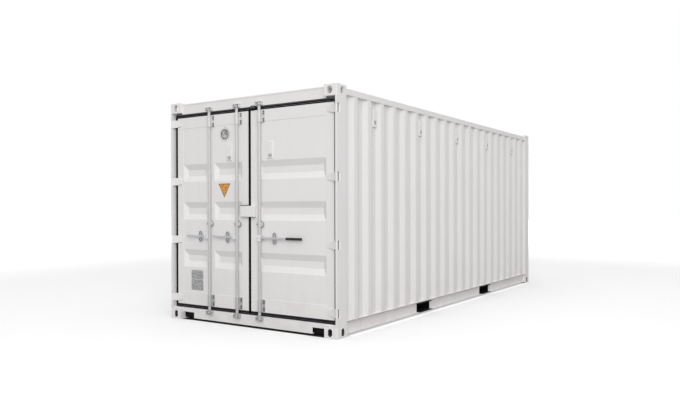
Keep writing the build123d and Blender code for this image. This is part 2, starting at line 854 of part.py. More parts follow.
def rod_strap(x, z, height, near, far, seat):
    """A strap bolted to the leaf, whose face is at seat, with an arch over the rod."""
    low, high = z - height / 2, z + height / 2
    bore = ROD_RADIUS + ROD_PLAY
    arch = bore + BRACKET_WALL
    strap = along_y(
        [
            (x - near, low + STRAP_CORNER),
            (x - near + STRAP_CORNER, low),
            (x + far - STRAP_CORNER, low),
            (x + far, low + STRAP_CORNER),
            (x + far, high - STRAP_CORNER),
            (x + far - STRAP_CORNER, high),
            (x - near + STRAP_CORNER, high),
            (x - near, high - STRAP_CORNER),
        ],
        LEAF_Y - BRACKET_WALL,
        seat,
    )
    strap += along_z(arch_plan(x, arch, ARCH_CORNER, seat), low, high)
    inner = ARCH_CORNER - BRACKET_WALL * (2 - sqrt(2))
    return strap - along_z(arch_plan(x, bore, inner, seat), low, high)


def rod_straps(x):
    """The three straps of one rod: a long one at each end and a short guide between."""
    flanges = (BRACKET_FLANGE_NEAR, BRACKET_FLANGE_FAR)
    guide_seat = LEAF_Y + PANEL_RECESS
    return [
        rod_strap(x, LEAF_BOTTOM + BRACKET_INSET, BRACKET_HEIGHT, *flanges, LEAF_Y),
        rod_strap(x, HANDLE_HEIGHT + GUIDE_RISE, GUIDE_HEIGHT, GUIDE_FLANGE, GUIDE_FLANGE, guide_seat),
        rod_strap(x, LEAF_TOP - BRACKET_INSET, BRACKET_HEIGHT, *flanges, LEAF_Y),
    ]


def cam_end(x, side, z0, z1, nose):
    """The forged end of a rod: a square shank with a nose that swings out of its keeper."""
    half = CAM_SHANK / 2
    end = block(x - half, x + half, ROD_Y - half, ROD_Y + half, z0, z1)
    end += along_z(
        [
            (x - side * half, ROD_Y - half),
            (x, ROD_Y - CAM_REACH + CAM_BEVEL),
            (x + side * half, ROD_Y - CAM_REACH + CAM_BEVEL),
            (x + side * CAM_REACH, ROD_Y - half),
            (x + side * CAM_REACH, ROD_Y + half / 2),
            (x + side * half, ROD_Y + half),
        ],
        nose - CAM_HEIGHT / 2,
        nose + CAM_HEIGHT / 2,
    )
    return end


def lock_rod(x, side):
    """A lock rod with a cam at each end and the hub that its handle is riveted to."""
    rod = upright(x, ROD_Y, ROD_RADIUS, ROD_BOTTOM, ROD_TOP)
    low = ROD_BOTTOM - CAM_TRAVEL
    high = ROD_TOP + CAM_TRAVEL
    rod += cam_end(x, side, low, ROD_BOTTOM, low + CAM_HEIGHT / 2)
    rod += cam_end(x, side, ROD_TOP, high, high - CAM_HEIGHT / 2)
    half = HUB_HEIGHT / 2
    pivot = x + side * HANDLE_PIVOT
    back = HANDLE_Y + HANDLE_THICK + SEAT_GAP
    low, high = HANDLE_HEIGHT - half, HANDLE_HEIGHT + half
    hub = block(x, pivot + side * half, back, ROD_Y + CAM_SHANK / 2, low, high)
    corners = hub.edges().filter_by(Axis.Y).group_by(Axis.X)[-1 if side > 0 else 0]
    rod += chamfer(corners, HUB_CORNER)
    rod += level(pivot, HANDLE_HEIGHT, RIVET_RADIUS, HANDLE_Y - RIVET_HEAD, back)
    return rod


def bar_handle(x, side, length, rise):
    """A flat bar handle on its rivet, with a tip that rises a little."""
    pivot = x + side * HANDLE_PIVOT
    half = HANDLE_BAR / 2
    tip = pivot + side * length
    bend = pivot + side * length * HANDLE_STRAIGHT
    bar = along_y(
        [
            (pivot, HANDLE_HEIGHT - half),
            (bend, HANDLE_HEIGHT - half),
            (tip, HANDLE_HEIGHT - half + rise),
            (tip, HANDLE_HEIGHT + half + rise / 2),
            (bend, HANDLE_HEIGHT + half),
            (pivot, HANDLE_HEIGHT + half),
        ],
        HANDLE_Y,
        HANDLE_Y + HANDLE_THICK,
    )
    near, far = pivot - HANDLE_BOSS, pivot + HANDLE_BOSS
    low, high = HANDLE_HEIGHT - HANDLE_BOSS, HANDLE_HEIGHT + HANDLE_BOSS
    boss = block(near, far, HANDLE_Y, HANDLE_Y + HANDLE_THICK, low, high)
    bar += chamfer(boss.edges().filter_by(Axis.Y), HANDLE_CORNER)
    return bar - level(pivot, HANDLE_HEIGHT, RIVET_RADIUS + HINGE_PLAY, -FAR, FAR)


def grip(x):
    """The rubber grip that is pushed over the end of the long handle."""
    y = HANDLE_Y + HANDLE_THICK / 2
    middle = x + HANDLE_PIVOT + LONG_HANDLE_LENGTH - GRIP_LENGTH / 2
    section = chamfer(Rectangle(GRIP_DEPTH, GRIP_HEIGHT).vertices(), GRIP_CORNER)
    sleeve = extrude(Plane.YZ * section, amount=GRIP_LENGTH / 2, both=True)
    return Pos(middle + GRIP_CAP, y, HANDLE_HEIGHT) * sleeve


def catch(x):
    """A catch behind the handle: a plate with cut corners and a prong that the bar rests on."""
    back = HANDLE_Y + HANDLE_THICK + CATCH_GAP
    plate = Rectangle(CATCH_WIDTH, CATCH_HEIGHT)
    plate = chamfer(plate.vertices(), CATCH_CORNER)
    for z in (-CATCH_SPREAD, CATCH_SPREAD):
        plate -= Pos(0, z) * RegularPolygon(CATCH_HOLE, 6)
    catch = Pos(x, back + CATCH_PLATE, HANDLE_HEIGHT) * extrude(Plane.XZ * plate, amount=CATCH_PLATE)
    seat = LEAF_Y + PANEL_RECESS
    low, high = HANDLE_HEIGHT - HANDLE_BAR, HANDLE_HEIGHT + HANDLE_BAR
    catch += block(x - CATCH_HOLE, x + CATCH_HOLE, back + CATCH_PLATE, seat, low, high)
    rest = HANDLE_HEIGHT - HANDLE_BAR / 2 - SEAT_GAP
    half = CATCH_HOLE / 2
    return catch + block(x - half, x + half, HANDLE_Y, back, rest - CATCH_PRONG, rest)


def keeper(x, z0, cap_above):
    """Two cheeks and a cap on the header or sill, open in front of the cam."""
    z1 = z0 + KEEPER_HEIGHT
    outer = KEEPER_GAP + KEEPER_WALL
    body = block(x - outer, x + outer, END_Y - KEEPER_DEPTH, END_Y, z0, z1)
    cut = KEEPER_WALL if cap_above else 0.0
    low = z0 + KEEPER_WALL - cut
    high = z1 - cut
    return body - block(x - KEEPER_GAP, x + KEEPER_GAP, -FAR, 0, low, high)


def keepers():
    """The cam keepers of the three rods, on the sill and on the header."""
    found = []
    for x in (*ROD_CENTRES_LEFT, ROD_CENTRE_RIGHT):
        low = ROD_BOTTOM - CAM_TRAVEL - GASKET_CLEARANCE - KEEPER_WALL
        high = ROD_TOP + CAM_TRAVEL + GASKET_CLEARANCE + KEEPER_WALL - KEEPER_HEIGHT
        found.append(keeper(x, low, False))
        found.append(keeper(x, high, True))
    return found


def lock_box(x0, x1, depth):
    """Half of the box over the padlock, on one leaf, open below."""
    low, high = sorted((x0, x1))
    front = LEAF_Y - depth
    top = LOCK_BOTTOM + LOCK_HEIGHT
    box = block(low, high, front, LEAF_Y, LOCK_BOTTOM, top)
    box = chamfer(box.edges().group_by(Axis.Y)[0], LOCK_BEVEL)
    return box - block(
        low + LOCK_WALL, high - LOCK_WALL, front + LOCK_WALL, LEAF_Y, 0, top - LOCK_WALL
    )


def vent_cover(x):
    """A cover over the small vent of a leaf, with a window for its slats."""
    half = COVER_WIDTH / 2
    seat = LEAF_Y + PANEL_RECESS
    front = seat - COVER_DEPTH
    cover = block(x - half, x + half, front, seat, COVER_BOTTOM, COVER_BOTTOM + COVER_HEIGHT)
    cover = chamfer(cover.edges().group_by(Axis.Y)[0], COVER_BEVEL)
    inset = half - COVER_RIM
    low = COVER_BOTTOM + COVER_RIM
    return cover - block(
        x - inset, x + inset, front, seat - COVER_WALL, low, low + COVER_WINDOW
    )


# Structure
def both_sides(shapes):
    """Right-hand shapes, each followed by its mirror image on the left."""
    return [made for shape in shapes for made in left_right(shape)]


for level_name, is_top in (("bottom", False), ("top", True)):
    casting = corner_casting(is_top)
    write(f"{level_name}_castings", *both_sides([casting, mirror(casting, about=Plane.XZ)]))

write("door_posts", *left_right(door_post()))
write("closed_posts", *left_right(closed_post()))
write("hinge_lugs", *both_sides(hinge_lugs()))
write("bottom_side_rails", *both_sides(bottom_side_rail()))
write("pocket_bridges", *both_sides(pocket_bridges()))
write("top_side_rails", *left_right(top_side_rail()))
write("side_walls", *left_right(side_wall()))
write("side_vents", *both_sides(side_vents()))
write("door_header", door_header())
write("door_sill", door_sill(), *sill_ends())
write("door_stops", *door_stops())
write("closed_bottom_rail", *closed_bottom_rail())
write("closed_top_rail", closed_top_rail())
write("closed_wall", closed_wall())
write("roof", roof())
write("roof_end_plates", *roof_end_plates())
write("floor", floor())
write("crossmembers", *crossmembers())
write("fork_pocket_sides", *fork_pocket_sides())
write("fork_pocket_plates", *fork_pocket_plates())
write("cam_keepers", *keepers())
write("right_leaf_hinges", *hinge_blades())
write("left_leaf_hinges", *[mirror(blade, about=Plane.YZ) for blade in hinge_blades()])

# Doors
LEAVES = (
    ("left", SEAM_CENTRE - SEAM_HALF, -LEAF_X, ROD_CENTRES_LEFT),
    ("right", SEAM_CENTRE + SEAM_HALF, LEAF_X, (ROD_CENTRE_RIGHT,)),
)
for name, x0, x1, rods in LEAVES:
    side = 1 if x1 > x0 else -1
    offset = CATCH_OFFSET_LONG if side > 0 else CATCH_OFFSET
    straps = [strap for x in rods for strap in rod_straps(x)]
    write(f"{name}_leaf_frame", leaf_frame(x0, x1))
    write(f"{name}_leaf_panel", leaf_panel(x0, x1, rods))
    write(f"{name}_leaf_gasket", leaf_gasket(x0, x1))
    write(f"{name}_rod_straps", *straps)
    write(f"{name}_handle_catches", *[catch(x + side * offset) for x in rods])

near = LOCK_GAP / 2
write("left_lock_box", lock_box(-LOCK_LEFT, SEAM_CENTRE - near, LOCK_LEFT_DEPTH))
write("right_lock_box", lock_box(SEAM_CENTRE + near, LOCK_RIGHT, LOCK_RIGHT_DEPTH))
write("left_vent_cover", vent_cover(COVER_LEFT))
write("right_vent_cover", vent_cover(COVER_RIGHT))

# Rods and handles
for number, x in enumerate(ROD_CENTRES_LEFT, start=1):
    write(f"rod_{number}", lock_rod(x, -1))
    write(f"handle_{number}", bar_handle(x, -1, HANDLE_LENGTH, HANDLE_RISE))
write("rod_3", lock_rod(ROD_CENTRE_RIGHT, 1))
long_bar = bar_handle(ROD_CENTRE_RIGHT, 1, LONG_HANDLE_LENGTH, 0.0)
write("handle_3", long_bar)
write("handle_3_grip", grip(ROD_CENTRE_RIGHT) - long_bar)
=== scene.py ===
# %% [markdown]
# # A freight container, dressed around its CAD frame
# The frame holds every steel piece at its real size. This lesson gives those pieces the look of
# the real ones: rounded edges, paint, zinc and rubber, and the small things that CAD leaves out,
# such as bolts, weld beads and gasket lips. Everything is in metres, in the frame's own axes:
# +Z is up, +Y runs along the container, and the doors face -Y.

# %% Load the frame
import json
import math

import bmesh
import bpy
from mathutils import Matrix, Vector


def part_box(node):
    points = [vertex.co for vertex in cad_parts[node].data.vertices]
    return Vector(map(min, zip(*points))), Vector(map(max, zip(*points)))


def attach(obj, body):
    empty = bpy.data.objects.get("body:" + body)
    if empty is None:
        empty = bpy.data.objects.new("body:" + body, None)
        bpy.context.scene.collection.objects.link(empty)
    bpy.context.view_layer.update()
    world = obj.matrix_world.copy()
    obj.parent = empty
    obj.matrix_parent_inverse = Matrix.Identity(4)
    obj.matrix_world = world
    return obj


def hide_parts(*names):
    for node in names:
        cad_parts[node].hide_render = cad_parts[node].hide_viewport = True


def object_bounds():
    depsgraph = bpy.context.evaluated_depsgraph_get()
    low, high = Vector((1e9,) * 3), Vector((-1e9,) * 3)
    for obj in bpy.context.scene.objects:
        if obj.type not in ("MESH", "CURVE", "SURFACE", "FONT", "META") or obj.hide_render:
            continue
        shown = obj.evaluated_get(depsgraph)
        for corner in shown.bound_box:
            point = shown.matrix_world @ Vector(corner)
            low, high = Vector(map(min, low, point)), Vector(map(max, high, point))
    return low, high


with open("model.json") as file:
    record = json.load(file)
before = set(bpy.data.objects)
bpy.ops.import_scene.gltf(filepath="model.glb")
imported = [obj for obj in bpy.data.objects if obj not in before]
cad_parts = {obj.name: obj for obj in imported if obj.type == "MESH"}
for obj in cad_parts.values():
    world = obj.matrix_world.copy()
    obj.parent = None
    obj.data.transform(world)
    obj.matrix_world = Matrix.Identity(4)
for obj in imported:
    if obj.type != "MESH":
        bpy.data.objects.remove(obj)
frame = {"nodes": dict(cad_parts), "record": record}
cad_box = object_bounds()
nodes = frame["nodes"]
print("CAD box", [round(v, 3) for v in cad_box[0]], [round(v, 3) for v in cad_box[1]])

# %% [markdown]
# ## One way of writing node trees
# Shader and geometry trees are the same thing to a script: nodes, and links between sockets.
# `Graph.add` makes any node from its type, its settings and its sockets. `Wire` wraps one output
# and overloads the arithmetic signs, so that a mask can be written as plain maths.


# %% Graph and Wire
class Wire:
    """One output socket, on which sums can be written."""

    def __init__(self, graph, socket):
        self.graph = graph
        self.socket = socket

    def out(self, name):
        """Another output of the same node."""
        return Wire(self.graph, self.socket.node.outputs[name])

    def sum_with(self, operation, first, second):
        """A Math node between two values."""
        return self.graph.add("ShaderNodeMath", {"operation": operation}, {0: first, 1: second})

    def __add__(self, other):
        return self.sum_with("ADD", self, other)

    def __radd__(self, other):
        return self.sum_with("ADD", other, self)

    def __sub__(self, other):
        return self.sum_with("SUBTRACT", self, other)

    def __rsub__(self, other):
        return self.sum_with("SUBTRACT", other, self)

    def __mul__(self, other):
        return self.sum_with("MULTIPLY", self, other)

    def __rmul__(self, other):
        return self.sum_with("MULTIPLY", other, self)

    def most(self, other):
        """The larger of two values."""
        return self.sum_with("MAXIMUM", self, other)

    def folded(self, reach):
        """The distance to the nearest of many marks, which stand twice the reach apart."""
        return self.sum_with("PINGPONG", self, reach)

    def rise(self, start, stop):
        """0 below start, 1 above stop, and a smooth step between."""
        sockets = {"Value": self, "From Min": start, "From Max": stop}
        return self.graph.add("ShaderNodeMapRange", {"interpolation_type": "SMOOTHSTEP"}, sockets)


class Graph:
    """A node tree that is filled from a script."""

    def __init__(self, tree):
        self.tree = tree
        tree.nodes.clear()

    def add(self, kind, settings=None, sockets=None):
        """A node of any type: settings first, then the values or links of its sockets. What comes
        back is the wire of its first output, if it has one."""
        node = self.tree.nodes.new(kind)
        for name, value in (settings or {}).items():
            setattr(node, name, value)
        for name, value in (sockets or {}).items():
            if isinstance(value, Wire):
                self.tree.links.new(value.socket, node.inputs[name])
            else:
                node.inputs[name].default_value = value
        return Wire(self, node.outputs[0]) if node.outputs else None


# %% [markdown]
# ## Colours as they look, and as light counts them
# A colour read from a picture is in sRGB. Shaders work in linear light, so each one goes through
# the standard curve once, here.


# %% Colours
def linear(red, green, blue):
    """A colour given in 0 to 255 as seen, as the linear colour that shaders use."""
    values = []
    for part in (red, green, blue):
        share = part / 255
        values.append(share / 12.92 if share <= 0.04045 else ((share + 0.055) / 1.055) ** 2.4)
    return (*values, 1.0)


PAINT_WHITE = linear(239, 236, 236)
PAINT_SHADE = linear(236, 233, 233)
PAINT_DUST = linear(204, 200, 193)
PAINT_NOTCH_SHADE = linear(112, 105, 100)
ZINC_LIGHT = linear(234, 235, 238)
ZINC_DARK = linear(194, 195, 198)
ROD_LIGHT = linear(214, 213, 212)
ROD_DARK = linear(188, 187, 187)
STRAP_LIGHT = linear(226, 225, 224)
STRAP_DARK = linear(168, 169, 170)
NEW_LIGHT = linear(244, 246, 249)
NEW_DARK = linear(222, 225, 229)
STEEL_LIGHT = linear(136, 137, 139)
STEEL_DARK = linear(92, 93, 96)
CAVITY_SHADE_LOW = linear(34, 30, 27)
CAVITY_SHADE_HIGH = linear(234, 230, 226)
RUBBER_BLACK = linear(10, 10, 11)
RUBBER_DUST_AND_LIGHT = linear(112, 114, 120)
WAX_BLACK = linear(18, 18, 18)
WAX_BROWN = linear(44, 41, 38)
PLY_LIGHT = linear(150, 104, 68)
PLY_DARK = linear(96, 60, 38)
PLY_SEAM = linear(40, 27, 20)
PLATE_GREY = linear(196, 197, 196)
PLATE_DARK = linear(138, 140, 141)
MARKER_ORANGE = linear(236, 164, 66)
MARKER_EDGE = linear(70, 66, 60)
print("paint", [round(v, 3) for v in PAINT_WHITE[:3]])

# %% [markdown]
# ## Finishes
# A finish is a Principled shader whose colour, roughness and surface vary a little with place.
# Object coordinates are used throughout. They are in metres here, because every mesh keeps its
# place in its own vertices, so a noise of scale 400 has grains of about 2.5 mm.


# %% A finish and its parts
class Finish(Graph):
    """A material with a Principled shader at its end."""

    def __init__(self, name):
        self.material = bpy.data.materials.new(name)
        self.material.use_nodes = True
        super().__init__(self.material.node_tree)
        self.place = self.add("ShaderNodeTexCoord").out("Object")

    def stretched(self, scale):
        """The place, stretched by a factor along each axis."""
        return self.add("ShaderNodeMapping", None, {"Vector": self.place, "Scale": scale})

    def noise(self, scale, detail=3.0, roughness=0.55, place=None):
        """Cloudy noise from 0 to 1."""
        sockets = {"Vector": place or self.place, "Scale": scale, "Detail": detail}
        return self.add("ShaderNodeTexNoise", None, {**sockets, "Roughness": roughness})

    def blend(self, share, first, second):
        """A colour between two others."""
        sockets = {"Factor": share, "A": first, "B": second}
        return self.add("ShaderNodeMix", {"data_type": "RGBA"}, sockets).out("Result")

    def axis(self, name):
        """One coordinate of the place, in metres."""
        return self.add("ShaderNodeSeparateXYZ", None, {"Vector": self.place}).out(name)

    def stored(self, name):
        """A value from 0 to 1 that the mesh carries, or 0 if it has none of that name."""
        return self.add("ShaderNodeAttribute", {"attribute_name": name}).out("Fac")

    def bump(self, height, depth, strength=1.0, under=None):
        """A height that tilts the surface, depth metres high."""
        sockets = {"Height": height, "Distance": depth, "Strength": strength}
        if under is not None:
            sockets["Normal"] = under
        return self.add("ShaderNodeBump", None, sockets)

    def close(self, colour, rough, surface, **others):
        """Ends the tree: each value goes to the Principled socket of its name."""
        sockets = {"Base Color": colour, "Roughness": rough, "Normal": surface}
        sockets.update({name.replace("_", " "): value for name, value in others.items()})
        shader = self.add("ShaderNodeBsdfPrincipled", None, sockets)
        self.add("ShaderNodeOutputMaterial", None, {"Surface": shader})
        return self.material


# %% [markdown]
# ### White container paint
# Container paint is sprayed and dries to a fine orange peel, on sheet that is never quite flat.
# So there are two bumps, a grain of a few millimetres and a slow wave. The colour hardly
# changes: a cloudy shade, very faint upright rain marks, and a trace of dust low down.


# %% Paint on sheet steel
DUST_HEIGHT = 0.75
WAX_HEIGHT = 0.150
PEEL = 0.0003


def paint_finish(name, wave, grime, wax_and_shade=False):
    """White paint. wave is a height in metres and grime the share of dust low down. Paint with a black
    foot is black up to the height of the wax: wax, and also painted shade. Where a mesh marks the backs of
    the hinge notches, it is painted grey shade."""
    finish = Finish(name)
    cloud = finish.noise(1.4, 4.0)
    rain = finish.noise(1.0, 3.0, place=finish.stretched((14.0, 14.0, 0.5)))
    shade = (cloud * 0.6 + rain * 0.4).rise(0.35, 0.75)
    colour = finish.blend(shade, PAINT_WHITE, PAINT_SHADE)
    low = 1.0 - finish.axis("Z").rise(0.0, DUST_HEIGHT)
    dust = low * finish.noise(5.0, 5.0, 0.65).rise(0.35, 0.8) * grime
    colour = finish.blend(dust, colour, PAINT_DUST)
    # Painted shade: the backs of the hinge notches are greyed, as the shadow in those slots.
    colour = finish.blend(finish.stored("worn") * (0.8 + cloud * 0.2), colour, PAINT_NOTCH_SHADE)
    # Below the wax height the paint turns black: wax, and also painted shade carried over the bridges from
    # the dark fork pockets.
    if wax_and_shade:
        under = 1.0 - finish.axis("Z").rise(WAX_HEIGHT, WAX_HEIGHT + 0.001)
        colour = finish.blend(under, colour, WAX_BLACK)
    grain = finish.noise(420.0, 2.0)
    sag = finish.noise(2.6, 1.0, 0.4)
    surface = finish.bump(grain, PEEL, 0.5, finish.bump(sag, wave, 0.6))
    gloss = 0.36 + cloud * 0.08 + dust * 0.3
    return finish.close(colour, gloss, surface, Specular_IOR_Level=0.25)


sheet_paint = paint_finish("white_paint_on_sheet", 0.0025, 0.3)
frame_paint = paint_finish("white_paint_on_frame", 0.001, 0.35)
bridge_paint = paint_finish("white_paint_on_bridges", 0.001, 0.35, wax_and_shade=True)
print("paints", sheet_paint.name, frame_paint.name, bridge_paint.name)

# %% [markdown]
# ### Paint on cast steel
# The corner castings are poured in sand, so under the same paint they are rough: a grain of a
# few millimetres, with pits. Their holes and hollow are painted with shade: near black low down,
# and pale in the top ones, which get more light from above. The mesh carries an attribute called
# `inside` for that, which is 1 in the holes and the hollow.


# %% Paint on castings
def casting_finish():
    """White paint over sand-cast steel."""
    finish = Finish("white_paint_on_castings")
    cloud = finish.noise(9.0, 4.0)
    colour = finish.blend(cloud.rise(0.4, 0.8), PAINT_WHITE, PAINT_SHADE)
    # Painted shade in the holes and hollow: near black low down, pale in the top castings.
    inside = finish.stored("inside")
    cavity_shade = finish.blend(finish.axis("Z").rise(0.5, 2.0), CAVITY_SHADE_LOW, CAVITY_SHADE_HIGH)
    colour = finish.blend(inside * (0.85 + cloud * 0.15), colour, cavity_shade)
    sand = finish.noise(160.0, 4.0, 0.6)
    pits = finish.noise(70.0, 2.0).rise(0.62, 0.7)
    surface = finish.bump(sand - pits * 0.6, 0.0011, 0.7)
    return finish.close(colour, 0.42 + cloud * 0.12, surface)


casting_paint = casting_finish()

# %% [markdown]
# ### Hot-dip zinc
# Straps, cams, catches and handles are dipped in zinc. It freezes in crystals some millimetres
# wide, each with its own tone, and soon goes matt. Voronoi cells give the crystals. The rods and
# their straps are paler and smoother, the roots of the handles are nearly white, and the bolts
# are darker. All of them are a little darker towards the bottom.


# %% Zinc
def zinc_finish(name, light, dark, metal, gloss):
    """Zinc with its spangle."""
    finish = Finish(name)
    cells = finish.add("ShaderNodeTexVoronoi", None, {"Vector": finish.place, "Scale": 110.0})
    tone = finish.add("ShaderNodeSeparateColor", None, {"Color": cells.out("Color")}).out("Red")
    cloud = finish.noise(22.0, 4.0)
    low = 1.0 - finish.axis("Z").rise(0.1, 2.2)
    colour = finish.blend(tone * 0.3 + cloud * 0.2 + low * 0.5, light, dark)
    surface = finish.bump(finish.noise(260.0, 2.0), 0.0004, 0.5)
    return finish.close(colour, gloss + tone * 0.16, surface, Metallic=metal)


zinc = zinc_finish("dipped_zinc", ZINC_LIGHT, ZINC_DARK, 0.75, 0.28)
rod_zinc = zinc_finish("rod_zinc", ROD_LIGHT, ROD_DARK, 0.1, 0.42)
strap_zinc = zinc_finish("strap_zinc", STRAP_LIGHT, STRAP_DARK, 0.12, 0.42)
bolt_steel = zinc_finish("bolt_steel", STEEL_LIGHT, STEEL_DARK, 0.6, 0.35)
new_zinc = zinc_finish("new_zinc", NEW_LIGHT, NEW_DARK, 0.08, 0.35)
print("zinc", zinc.name, rod_zinc.name, strap_zinc.name, bolt_steel.name, new_zinc.name)

# %% [markdown]
# ### Rubber
# The gaskets are extruded black rubber with pale dust in patches. A mesh may also carry an
# attribute from 0 to 1, which the finish reads as a painted highlight where light from above
# falls on the rubber. The handle's grip has none and stays black.


# %% Rubber
def rubber_finish(name, dust, gloss, sheen):
    """Black rubber with pale dust in patches, and the same pale colour as a painted highlight on the faces
    marked as lit from above.
    """
    finish = Finish(name)
    cloud = finish.noise(18.0, 4.0, 0.6)
    # Painted highlight: faces marked as lit from above take the pale colour.
    up = finish.stored("up")
    share = cloud.rise(0.45, 0.8) * dust + up * (0.6 + cloud * 0.6)
    colour = finish.blend(share, RUBBER_BLACK, RUBBER_DUST_AND_LIGHT)
    surface = finish.bump(finish.noise(500.0, 2.0), 0.0002, 0.4)
    return finish.close(colour, gloss + cloud * 0.15, surface, Specular_IOR_Level=sheen)


gasket_rubber = rubber_finish("gasket_rubber", 0.06, 0.6, 0.1)
grip_rubber = rubber_finish("grip_rubber", 0.05, 0.3, 0.6)

# %% [markdown]
# ### Black wax underneath
# The understructure is sprayed with black wax, thick and lumpy, with brown where dirt has
# stuck to it.


# %% Underbody wax
def wax_finish():
    """Black wax with lumps."""
    finish = Finish("underbody_wax")
    cloud = finish.noise(6.0, 5.0, 0.6)
    colour = finish.blend(cloud.rise(0.5, 0.85) * 0.5, WAX_BLACK, WAX_BROWN)
    surface = finish.bump(finish.noise(60.0, 3.0), 0.0015, 0.6)
    return finish.close(colour, 0.6 + cloud * 0.25, surface, Specular_IOR_Level=0.15)


wax = wax_finish()

# %% [markdown]
# ### Plywood floor
# The floor is plywood in boards of 1.16 m. Its grain and its fibre are two noises, both
# stretched along the container, and a dark seam shows where two boards meet.


# %% Plywood
BOARD = 1.16
FAR_BACK = 20 * BOARD


def plywood_finish():
    """Varnished plywood with its grain along the container, and a dark seam at each board. It is
    waxed underneath. Places are counted from a seam far back, so that none is below 0."""
    finish = Finish("floor_plywood")
    grain = finish.noise(3.0, 6.0, 0.7, finish.stretched((18.0, 1.2, 18.0)))
    fibre = finish.noise(6.0, 4.0, 0.6, finish.stretched((60.0, 2.0, 60.0)))
    tone = (grain * 0.7 + fibre * 0.3).rise(0.3, 0.75)
    colour = finish.blend(tone, PLY_LIGHT, PLY_DARK)
    along = (finish.axis("Y") + FAR_BACK).folded(BOARD / 2)
    across = (finish.axis("X") + FAR_BACK).folded(BOARD / 2)
    seam = 1.0 - along.rise(0.001, 0.004) * across.rise(0.001, 0.004)
    colour = finish.blend(seam * 0.85, colour, PLY_SEAM)
    under = 1.0 - finish.axis("Z").rise(WAX_HEIGHT, WAX_HEIGHT + 0.008)
    colour = finish.blend(under, colour, WAX_BROWN)
    surface = finish.bump(fibre - seam * 2.0, 0.0006, 0.5)
    return finish.close(colour, 0.5 + grain * 0.2, surface)


plywood = plywood_finish()

# %% [markdown]
# ### Plates and markers
# An etched metal plate is matt grey. Its fine brushing is noise stretched along X, and the etched
# parts are darker patches a few millimetres high. A printed foil has one colour, with darker
# patches where its print would be.


# %% Plate and marker finishes
def plate_finish():
    """Brushed and etched metal."""
    finish = Finish("etched_plate")
    lines = finish.noise(8.0, 3.0, 0.6, finish.stretched((6.0, 6.0, 160.0)))
    patches = finish.noise(1.0, 3.0, 0.6, finish.stretched((38.0, 38.0, 75.0)))
    colour = finish.blend(lines * 0.3 + patches.rise(0.44, 0.56) * 0.7, PLATE_GREY, PLATE_DARK)
    surface = finish.bump(lines + patches * 0.5, 0.0001, 0.4)
    return finish.close(colour, 0.42 + lines * 0.15, surface, Metallic=0.2)


def marker_finish(name, colour, darker, printed=0.0):
    """Foil in one colour that has faded a little. printed is the strength of its dark patches."""
    finish = Finish(name)
    cloud = finish.noise(30.0, 3.0)
    blots = finish.noise(62.0, 2.0).rise(0.5, 0.56) * printed
    tone = finish.blend((cloud.rise(0.4, 0.9) * 0.5).most(blots), colour, darker)
    surface = finish.bump(cloud, 0.0002, 0.3)
    return finish.close(tone, 0.3 + cloud * 0.1, surface)


plate_metal = plate_finish()
marker_orange = marker_finish("marker_orange", MARKER_ORANGE, linear(176, 112, 44), 0.9)
marker_edge = marker_finish("marker_edge", MARKER_EDGE, linear(50, 47, 44))
# A flat grey used as painted shade behind slats.
dark_slot = marker_finish("dark_slot", linear(96, 97, 98), linear(74, 75, 76))
# A grey used as painted shade along the bottom rails.
line_dirt = marker_finish("line_dirt", linear(112, 108, 104), linear(88, 84, 80), 0.6)
disc_foil = marker_finish("disc_foil", linear(200, 200, 199), linear(82, 82, 82), 0.95)
rim_foil = marker_finish("rim_foil", linear(222, 222, 221), linear(206, 206, 205))
ring_foil = marker_finish("ring_foil", linear(128, 129, 130), linear(62, 63, 64), 0.95)
print(len(bpy.data.materials), "materials")

# %% [markdown]
# ## From CAD mesh to piece
# A CAD mesh arrives as loose triangles with knife-sharp edges. Real steel never has those, and
# it is the light along a rounded edge that makes an edge readable. So each node is copied, its
# triangles are joined into whole faces, and a bevel rounds its edges. Pressed sheets get wide
# soft bends where they fold, which are found by the angle between their faces.


# %% Copies with rounded edges
MERGE_DISTANCE = 0.00002
SPECK = 0.000003
FLAT_DEGREES = 0.5
SHARP_DEGREES = 34
THIN_FACE = 0.003
body_of = {}
for body_name, names in frame["record"]["behaviour"]["bodies"].items():
    for node_name in names:
        body_of[node_name] = body_name


def joined(node):
    """The mesh of a CAD node as one joined surface with whole flat faces."""
    work = bmesh.new()
    work.from_mesh(nodes[node].data)
    bmesh.ops.remove_doubles(work, verts=work.verts, dist=MERGE_DISTANCE)
    limit = math.radians(FLAT_DEGREES)
    bmesh.ops.dissolve_limit(work, angle_limit=limit, verts=work.verts, edges=work.edges)
    bmesh.ops.recalc_face_normals(work, faces=work.faces)
    return work


def finished(work, name, smooth=False):
    """What a bmesh holds, as a mesh."""
    if smooth:
        for face in work.faces:
            face.smooth = True
    mesh = bpy.data.meshes.new(name)
    work.to_mesh(mesh)
    work.free()
    return mesh


def shown(name, data):
    """A new object in the scene."""
    made = bpy.data.objects.new(name, data)
    bpy.context.scene.collection.objects.link(made)
    return made


def add_piece(name, mesh, body, material):
    """A mesh as a piece of the scene, on a body and with a finish."""
    piece = shown(name, mesh)
    mesh.materials.clear()
    mesh.materials.append(material)
    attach(piece, body)
    return piece


def bake(piece):
    """Puts what the modifiers make of a piece into its mesh."""
    bpy.context.view_layer.update()
    view = bpy.context.evaluated_depsgraph_get()
    made = bpy.data.meshes.new_from_object(piece.evaluated_get(view))
    piece.modifiers.clear()
    piece.data = made


def drop_slivers(mesh):
    """Takes out the faces and edges without size that a bevel can leave."""
    work = bmesh.new()
    work.from_mesh(mesh)
    bmesh.ops.remove_doubles(work, verts=work.verts, dist=SPECK)
    bmesh.ops.dissolve_degenerate(work, edges=work.edges, dist=SPECK)
    work.to_mesh(mesh)
    work.free()


